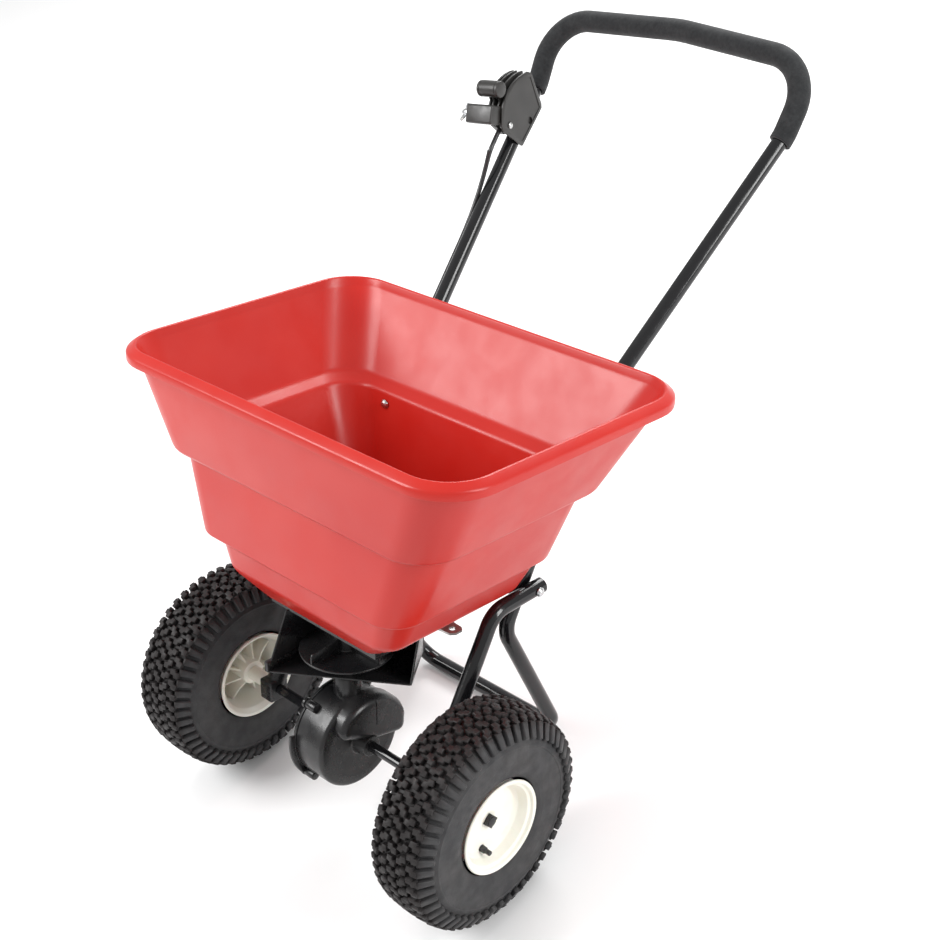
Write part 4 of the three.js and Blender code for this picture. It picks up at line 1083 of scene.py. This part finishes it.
def gearbox_case():
    inner = GEARBOX_R - CASE_WALL
    boss_end = CASE_RIGHT + 0.019
    web = CASE_RIGHT - CASE_WALL
    drum = turned([(CASE_LEFT, inner), (CASE_LEFT, GEARBOX_R, 0.0006), (CASE_RIGHT - 0.001, GEARBOX_R, 0.006),
                   (CASE_RIGHT, GEARBOX_R - 0.014, 0.010), (CASE_RIGHT, 0.016, 0.003),
                   (boss_end, 0.0125, 0.0012), (boss_end, GEAR_BORE), (web, GEAR_BORE),
                   (web, inner, 0.004)], steps=112)
    neck = rod((0, 0, GEARBOX_R - 0.003), (0, 0, FLOOR_Z - 0.003), 0.017, sides=48, edge=0.001)
    ears = [rod((CASE_LEFT, y, z), (CASE_LEFT + 0.016, y, z), 0.006, sides=28, edge=0.0012)
            for y, z in map(screw_spot, SCREW_ANGLES)]
    whole = fused(drum, neck, lobe(), *ears)
    seam = block((CASE_RIGHT + 0.0155, 0.0085, 0.026), (CASE_RIGHT + 0.021, 0.0097, 0.080), edge=0)
    well = rod((0, 0, GEARBOX_R - 0.012), (0, 0, FLOOR_Z + 0.01), SHAFT_R + 0.0004, sides=32, edge=0)
    hollow = rod((CASE_LEFT - 0.01, 0, 0), (web, 0, 0), inner, sides=96, edge=0)
    return cut(whole, seam, well, hollow)


def gearbox_cover():
    x = CASE_LEFT - GAP
    boss_end = x - 0.018
    disc = turned([(x, GEAR_BORE), (x, GEARBOX_R + 0.0015, 0.001),
                   (x - COVER_THICK, GEARBOX_R + 0.0005, 0.002), (x - 0.0055, 0.040, 0.006),
                   (x - 0.003, 0.024, 0.006), (boss_end, 0.0125, 0.002), (boss_end, GEAR_BORE)], steps=112)
    swell = sheet_of([*arc((0, 0), GEARBOX_R + 0.0075, 2.95, 3.95, 20), (0, 0)], 0.0045, edge=0.0012)
    sideways(swell, x - 0.0048)
    ears = [rod((x - 0.0052, y, z), (x - 0.0002, y, z), 0.0065, sides=28, edge=0.001)
            for y, z in map(screw_spot, SCREW_ANGLES)]
    return cut(fused(disc, swell, *ears), drill(x - 0.03, x + 0.03, GEAR_BORE + GAP))


show("gear_case", gearbox_case(), "black_plastic", "frame", "gearbox_case", crease=32)
show("gear_case_cover", gearbox_cover(), "black_plastic", "frame", "gearbox_cover", crease=32)
for k, (y, z) in enumerate(map(screw_spot, SCREW_ANGLES), start=1):
    x = CASE_LEFT - COVER_THICK - 2 * GAP
    screw = domed_bolt((x, y, z), (1, 0, 0), head=0.004, high=0.0024, shank=0.002, length=0.015)
    slot_cut = block((x - 0.004, y - 0.0035, z - 0.0005), (x - 0.0014, y + 0.0035, z + 0.0005), edge=0)
    show(f"case_screw_{k}", cut(screw, slot_cut), "zinc", "frame", f"gearbox_screw_{k}")

# %% [markdown]
# ## Deflector and impeller
# The deflector is a thin tray moulded in glossy black, open at the front where the grain flies out. Its
# panels are flat, so each is an outline given a thickness, with softened edges. The impeller is a disc with
# four blades on the upright shaft.

# %% Deflector
TRAY_LEFT, TRAY_RIGHT = -0.062, 0.077
TRAY_FRONT, TRAY_REAR = -0.071, 0.092
TRAY_BEND = Vector((0.033, TRAY_REAR))  # where the rear wall meets the slanted one
TRAY_TIP = Vector((TRAY_RIGHT, 0.030))  # the slanted wall's front end
PANEL = 0.0024
BASE_Z = level_box("base_plate")[0].z
TRAY_TOP = BASE_Z - GAP


def standing(a, b, rise):
    """A wall panel on the line from a to b."""
    run = b - a
    outline = [(0, 0, 0.002), (run.length, 0, 0.002), (run.length, rise, 0.002), (0, rise, 0.002)]
    bm = sheet_of(outline, PANEL, edge=0.0006)
    way = run.normalized()
    stand_up = Matrix(((way.x, 0, way.y, a.x), (way.y, 0, -way.x, a.y), (0, 1, 0, FLOOR_Z), (0, 0, 0, 1)))
    return moved(bm, stand_up)


def deflector():
    rise = TRAY_TOP - FLOOR_Z
    on_floor = Matrix.Translation((0, 0, FLOOR_Z))
    floor_outline = [(TRAY_LEFT, TRAY_FRONT, 0.002), (*TRAY_TIP, 0.003), (*TRAY_BEND, 0.003),
                     (TRAY_LEFT, TRAY_REAR, 0.002)]
    floor = moved(sheet_of(floor_outline, PANEL, edge=0.0007), on_floor)
    neck_hole = rod((0, 0, FLOOR_Z - 0.01), (0, 0, FLOOR_Z + 0.01), 0.009, sides=40, edge=0)
    left_outline = [(TRAY_FRONT, 0, 0.002), (TRAY_REAR, 0, 0.002), (TRAY_REAR, rise),
                    (TRAY_FRONT + 0.44 * rise, rise)]
    left = moved(sideways(sheet_of(left_outline, PANEL, edge=0.0007), TRAY_LEFT), on_floor)
    rear = standing(Vector((TRAY_LEFT, TRAY_REAR)), TRAY_BEND + Vector((0.0015, 0)), rise)
    slanted = standing(TRAY_BEND, TRAY_TIP, rise)
    top_corner = [v for v in slanted.verts
                  if v.co.z > FLOOR_Z + rise / 2 and v.co.y < (TRAY_TIP.y + TRAY_REAR) / 2]
    bmesh.ops.translate(slanted, verts=top_corner, vec=(0.011, 0.002, 0))
    lip = block((TRAY_LEFT - 0.004, TRAY_FRONT, FLOOR_Z),
                (TRAY_LEFT + PANEL, TRAY_REAR - 0.02, FLOOR_Z + 0.014), edge=0.0012)
    tab_z = TRAY_TOP - PANEL
    tabs = [block((TRAY_LEFT - 0.014, -0.012, tab_z), (TRAY_LEFT + 0.001, 0.030, TRAY_TOP), edge=0.0008),
            block((-0.020, TRAY_REAR - 0.001, tab_z), (0.020, TRAY_REAR + 0.012, TRAY_TOP), edge=0.0008)]
    return together(cut(floor, neck_hole), left, rear, slanted, lip, *tabs)


show("deflector_tray", deflector(), "black_plastic", "frame", "deflector")

# %% Impeller, shaft and agitator
impeller_low, impeller_high = level_box("impeller")
DISC_Z = FLOOR_Z + 0.030
IMPELLER_R = (impeller_high.x - impeller_low.x) / 2


def upright(bm):
    """A turned shape stood on end."""
    return moved(bm, Matrix.Rotation(-math.pi / 2, 4, "Y"))


def impeller(blade_count=4):
    under, over, top = DISC_Z - 0.008, DISC_Z + PANEL, impeller_high.z
    shaft_bore, tip = SHAFT_R + GAP, IMPELLER_R - 0.001
    profile = [(under, shaft_bore), (under, 0.012, 0.001), (DISC_Z, 0.012, 0.001),
               (DISC_Z, IMPELLER_R, 0.0008), (over, IMPELLER_R, 0.0008), (over, 0.0125, 0.002),
               (top, 0.0115, 0.0015), (top, shaft_bore)]
    body = upright(turned(profile, steps=72))
    outline = [(0.009, 0), (tip, 0), (tip, 0.014, 0.004), (0.020, 0.017, 0.004), (0.009, 0.017)]
    stand = Matrix.Translation((0, PANEL / 2, DISC_Z + 0.001)) @ Matrix.Rotation(math.pi / 2, 4, "X")
    blades = []
    for k in range(blade_count):
        blade = moved(sheet_of(outline, PANEL, edge=0.0006), stand)
        blades.append(moved(blade, Matrix.Rotation(k * math.tau / blade_count, 4, "Z")))
    return together(body, *blades)


show("impeller_disc", impeller(), "black_plastic", "spinner", "impeller")
show("upright_shaft", rod((0, 0, shaft_low.z), (0, 0, shaft_high.z), SHAFT_R, sides=36, edge=0.001),
     "bare_steel", "spinner", "impeller_shaft")


def agitator():
    z = shaft_high.z - 0.016
    top, middle, fit = z + 0.012, z + 0.006, SHAFT_R + GAP / 2
    collar = upright(turned([(z, fit), (z, 0.009, 0.0008), (top, 0.009, 0.0008), (top, fit)], steps=36))
    arms = [tube([((s * 0.0072, 0, middle), 0), ((s * 0.034, 0, middle), 0.009),
                  ((s * 0.046, s * 0.006, z - 0.012), 0)], 0.0024, sides=16) for s in (1, -1)]
    return together(collar, *arms)


show("agitator_wire", agitator(), "bare_steel", "spinner", "agitator")

# %% [markdown]
# ## Fixings on the hopper
# Two bolts go through the hopper's back wall and the stand. Their bright heads are the only metal inside the
# tub. Behind the wall a plastic sleeve is cut to fit the tube.


# %% Hopper bolts
def rear_wall(low_name, high_name, z, inset=0.0, lifts=(0.0, 0.0)):
    """The y of the hopper's rear wall at height z, between two sections."""
    low = section(low_name, inset, lifts[0])
    high = section(high_name, inset, lifts[1])
    return low[2] + (high[2] - low[2]) * (z - low[4]) / (high[4] - low[4])


BOLT_Z = section("waist")[4] - 0.003
bolt_share = (BOLT_Z - KNEE.z) / (SHOULDER.z - KNEE.z)
BOLT_X = KNEE.x + (SHOULDER.x - KNEE.x) * bolt_share
TUBE_Y = KNEE.y + (SHOULDER.y - KNEE.y) * bolt_share
OUTSIDE_Y = rear_wall("step", "waist", BOLT_Z)
INSIDE_Y = rear_wall("step", "waist", BOLT_Z, WALL, (LIFTS["step"], LIFTS["waist"]))

for side, s in SIDES:
    x = s * BOLT_X
    head_y = INSIDE_Y - 0.0012
    bolt = domed_bolt((x, head_y, BOLT_Z), (0, 1, 0), length=TUBE_Y + TUBE_R + 0.009 - head_y)
    show(f"hopper_pin_{side}", bolt, "zinc", "frame", f"hopper_bolt_{side}")
    lock = nut((x, TUBE_Y + TUBE_R + 0.0019, BOLT_Z), (0, 1, 0))
    show(f"hopper_lock_{side}", lock, "zinc", "frame", f"hopper_nut_{side}")
    sleeve = rod((x, OUTSIDE_Y + 0.0005, BOLT_Z), (x, TUBE_Y, BOLT_Z), 0.0055, sides=28)
    shoulder, knee = (SHOULDER, KNEE) if s > 0 else (mirrored(SHOULDER), mirrored(KNEE))
    groove = rod(shoulder, knee, TUBE_R + 0.0002, sides=40, edge=0)
    show(f"hopper_sleeve_{side}", cut(sleeve, groove), "black_plastic", "frame", f"hopper_spacer_{side}")

# %% [markdown]
# ## The control
# A fan-shaped housing clamps round the handle tube. Three thin fins follow its curved top, the lever comes
# out between them and ends in a T-shaped knob, and a stop held by a wing nut sets how far the lever opens.
# The pieces are drawn flat in the control's own space: along the tube, off its front, and across.

# %% The control's space
pivot = Vector(joints["lever_turn"]["pos_m"])
across = Vector(joints["lever_turn"]["axis"])
tube_way = (LEVEL.to_3x3() @ mirrored(HANDLE_WAY)).normalized()
front_way = across.cross(tube_way).normalized()
CONTROL = Matrix.Translation(pivot) @ Matrix((tube_way, front_way, across)).transposed().to_4x4()
FAN_R = 0.057
FAN_START = 0.72
LEVER_ANGLE = 1.62
STOP_ANGLE = 2.06
HOUSING_LOW, HOUSING_HIGH = -0.014, 0.010  # across
SLOT_LOW, SLOT_HIGH = -0.0056, 0.0  # the lever's slot, across
STUD_REACH = 0.070  # pivot to the stop's stud
PLATE_LOW = HOUSING_HIGH + 0.0004
SCREW_X, SCREW_Y = -0.028, 0.030


def slice_of(outline, low, high, edge=0.0006):
    """A plate between two heights across the control."""
    return moved(sheet_of(outline, high - low, edge=edge), Matrix.Translation((0, 0, low)))


def fan_plate(radius, start, stop, foot, low, high, edge=0.0006):
    return slice_of([*arc((0, 0), radius, start, stop, 18), *foot], low, high, edge)


def spoke(angle, radius, off=0.0):
    """A point at the radius from the pivot, and off to the side of that line."""
    out = Vector((math.cos(angle), math.sin(angle)))
    return out * radius + Vector((-out.y, out.x)) * off


# %% Housing and side plate
def housing():
    """Two cores either side of the lever's slot, a clamp round the tube, and the fins."""
    foot = [(-0.032, 0.011, 0.003), (0.030, 0.011, 0.003)]
    cores = [fan_plate(0.048, FAN_START, 2.35, foot, low, high, edge=0.001)
             for low, high in ((HOUSING_LOW, SLOT_LOW), (SLOT_HIGH, HOUSING_HIGH))]
    hub = rod((0, 0, SLOT_LOW - 0.0004), (0, 0, SLOT_HIGH + 0.001), 0.016, sides=40)
    clamp = block((-0.022, -0.0135, HOUSING_LOW), (0.022, 0.014, HOUSING_HIGH), edge=0.0025, segments=3)
    bore_through = rod((-0.09, 0, 0), (0.09, 0, 0), TUBE_R + GAP, sides=48, edge=0)
    first, last = 0.86, 2.28
    slot_foot = [tuple(spoke(last, 0.0172)), tuple(spoke(first, 0.0172))]
    slot_cut = fan_plate(0.08, first, last, slot_foot, SLOT_LOW, SLOT_HIGH, edge=0)
    fin_outline = [*arc((0, 0), FAN_R + 0.0045, FAN_START, 1.68, 14), *arc((0, 0), FAN_R, 1.74, 2.2, 8),
                   (-0.024, 0.012, 0.003), (0.028, 0.012, 0.003)]
    fins = [slice_of(fin_outline, low, low + 0.0028) for low in (HOUSING_LOW, -0.0088, SLOT_HIGH + 0.0004)]
    return together(cut(fused(clamp, *cores, hub), bore_through, slot_cut), *fins)


show("control_housing", housing(), "control_plastic", "frame", "console_body", place=CONTROL)


def side_plate():
    """A pentagon with a curved back, a sunk field, and a boss round its screw."""
    outline = [(-0.035, -0.008, 0.003), (0.026, -0.012, 0.002), (0.030, -0.008, 0.002), (0.048, 0.034, 0.004),
               (0.044, 0.043, 0.003), *arc((0, 0), 0.0605, 0.86, 1.98, 16), (-0.039, 0.044, 0.004),
               (-0.042, 0.036, 0.003)]
    plate = sheet_of(outline, 0.0026, edge=0.0007)
    field = sheet_of([(-0.030, -0.004, 0.003), (0.024, -0.0075, 0.002), (0.043, 0.034, 0.004),
                      *arc((0, 0), 0.0555, 0.90, 1.94, 16), (-0.034, 0.040, 0.004)], 0.003)
    moved(field, Matrix.Translation((0, 0, 0.0019)))
    boss = rod((SCREW_X, SCREW_Y, 0.0004), (SCREW_X, SCREW_Y, 0.0026), 0.0052, sides=32)
    shell = moved(fused(cut(plate, field), boss), Matrix.Translation((0, 0, PLATE_LOW)))
    hole = rod((0, -0.001, 0.005), (0, -0.001, 0.02), 0.0046, sides=32, edge=0)
    screw_hole = rod((SCREW_X, SCREW_Y, 0.005), (SCREW_X, SCREW_Y, 0.02), 0.0024, sides=24, edge=0)
    return cut(shell, hole, screw_hole)


show("control_side_plate", side_plate(), "control_plastic", "frame", "console_plate", place=CONTROL)
screw = domed_bolt((SCREW_X, SCREW_Y, PLATE_LOW + 0.0029), (0, 0, -1), head=0.004, high=0.0018,
                   shank=0.002, length=0.0026)
show("control_screw", screw, "zinc", "frame", "console_screw", place=CONTROL)


# %% Lever, knob and stop
def lever_arm():
    corners = [(0.019, -0.005, 0.003), (0.070, -0.004, 0.001), (0.070, 0.004, 0.001), (0.019, 0.005, 0.003)]
    return slice_of([(*spoke(LEVER_ANGLE, r, off), size) for r, off, size in corners], -0.0049, -0.0011)


def knob():
    """A barrel with a groove near each end, and a socket for the lever's strip."""
    wide, waist = 0.0105, 0.0098
    profile = [(-0.020, 0), (-0.020, 0.0085), (-0.0195, 0.0102, 0.001), (-0.0165, wide, 0.0005),
               (-0.0160, waist), (-0.0152, waist), (-0.0147, wide, 0.0005), (0.0077, wide, 0.0005),
               (0.0082, waist), (0.0090, waist), (0.0095, wide, 0.0005), (0.0125, 0.0102, 0.001),
               (0.013, 0.0085), (0.013, 0)]
    barrel = moved(upright(turned(profile, steps=40, closed=False)),
                   Matrix.Translation((*spoke(LEVER_ANGLE, 0.0735), 0)))
    socket_foot = [tuple(spoke(LEVER_ANGLE, 0.05, off)) for off in (0.0044, -0.0044)]
    half = 0.062  # of the socket's angle
    socket = fan_plate(0.0722, LEVER_ANGLE - half, LEVER_ANGLE + half, socket_foot, -0.0052, -0.0008, edge=0)
    return cut(barrel, socket)


def stop_block():
    corners = [(0.0582, -0.011), (0.078, -0.011), (0.078, 0.013), (0.0582, 0.013)]
    outline = [(*spoke(STOP_ANGLE, r, off), 0.003) for r, off in corners]
    body = moved(sheet_of(outline, 0.041, edge=0.0018, segments=3), Matrix.Translation((0, 0, -0.031)))
    stud = spoke(STOP_ANGLE, STUD_REACH)
    hole = rod((*stud, -0.06), (*stud, -0.012), 0.0032, sides=24, edge=0)
    return cut(body, hole)


def wing_nut():
    x, y = spoke(STOP_ANGLE, STUD_REACH)
    stud = rod((x, y, -0.042), (x, y, -0.016), 0.0029, sides=24, edge=0.0005)
    boss = rod((x, y, -0.0314), (x, y, -0.040), 0.0055, sides=32, edge=0.001, tip=0.0045)
    wings = []
    for flip in (1, -1):
        outline = [(0.0035, -0.0400), (0.0035, -0.0345), (0.0095, -0.0360, 0.002), (0.014, -0.0395, 0.0025),
                   (0.0135, -0.0412, 0.001), (0.0085, -0.0412, 0.002)]
        thick = 0.0022
        stand_up = Matrix(((flip, 0, 0, 0), (0, 0, flip, -flip * thick / 2), (0, 1, 0, 0), (0, 0, 0, 1)))
        wing = moved(sheet_of(outline, thick, edge=0.0007), stand_up)
        wings.append(moved(wing, Matrix.Translation((x, y, 0))))
    return together(stud, boss, *wings)


show("lever_strip", lever_arm(), "control_plastic", "lever", "control_lever", place=CONTROL)
show("lever_bar", knob(), "control_plastic", "lever", "lever_knob", place=CONTROL)
show("flow_stop", stop_block(), "control_plastic", "stop", "stop_block", place=CONTROL)
show("flow_stop_wing_nut", wing_nut(), "zinc", "stop", "stop_nut", place=CONTROL)

# %% [markdown]
# ## The cable
# A black casing leaves the control, runs down the outside of the handle tube, wraps behind it under the
# hopper and ends in a ferrule at the gate's bracket. The stops repeat the CAD route, so it never wanders from
# it.

# %% Cable casing
plate_rear = section("plate")[2]
WIRE_Z = BASE_Z + 0.0101
TAIL_X = -0.058
CASING_END = plate_rear + 0.097
LEVEL_CONTROL = UNLEVEL @ CONTROL
HUG = TUBE_R + 0.0074


def hug(distance, side):
    """A point beside the handle tube, at the distance up from its joint."""
    return mirrored(JOINT) + mirrored(HANDLE_WAY) * distance + Vector(side) * HUG


cable_start = LEVEL_CONTROL @ Vector((-0.037, 0.034, 0.002))
outside = (-0.95, 0.22, -0.2)
behind = (-0.2, 0.72, -0.66)
casing_tip = Vector((TAIL_X, CASING_END - 0.0006, WIRE_Z))
casing_stops = [
    (cable_start, 0), (cable_start - mirrored(HANDLE_WAY) * 0.034, 0.030),
    (hug(0.230, outside), 0.160), (hug(0.075, outside), 0.060), (hug(0.005, behind), 0.060),
    (Vector((TAIL_X, CASING_END + 0.062, WIRE_Z + 0.110)), 0.060),
    (Vector((TAIL_X, CASING_END + 0.062, WIRE_Z)), 0.030), (casing_tip, 0)]
ferrule = rod(casing_tip, casing_tip + Vector((0, 0.014, 0)), 0.0046, sides=24)
casing = together(tube(casing_stops, 0.003, sides=14), ferrule)
show("cable_sleeve", casing, "cable_black", "frame", "cable_casing")

# %% [markdown]

# %% The end
bpy.context.view_layer.update()
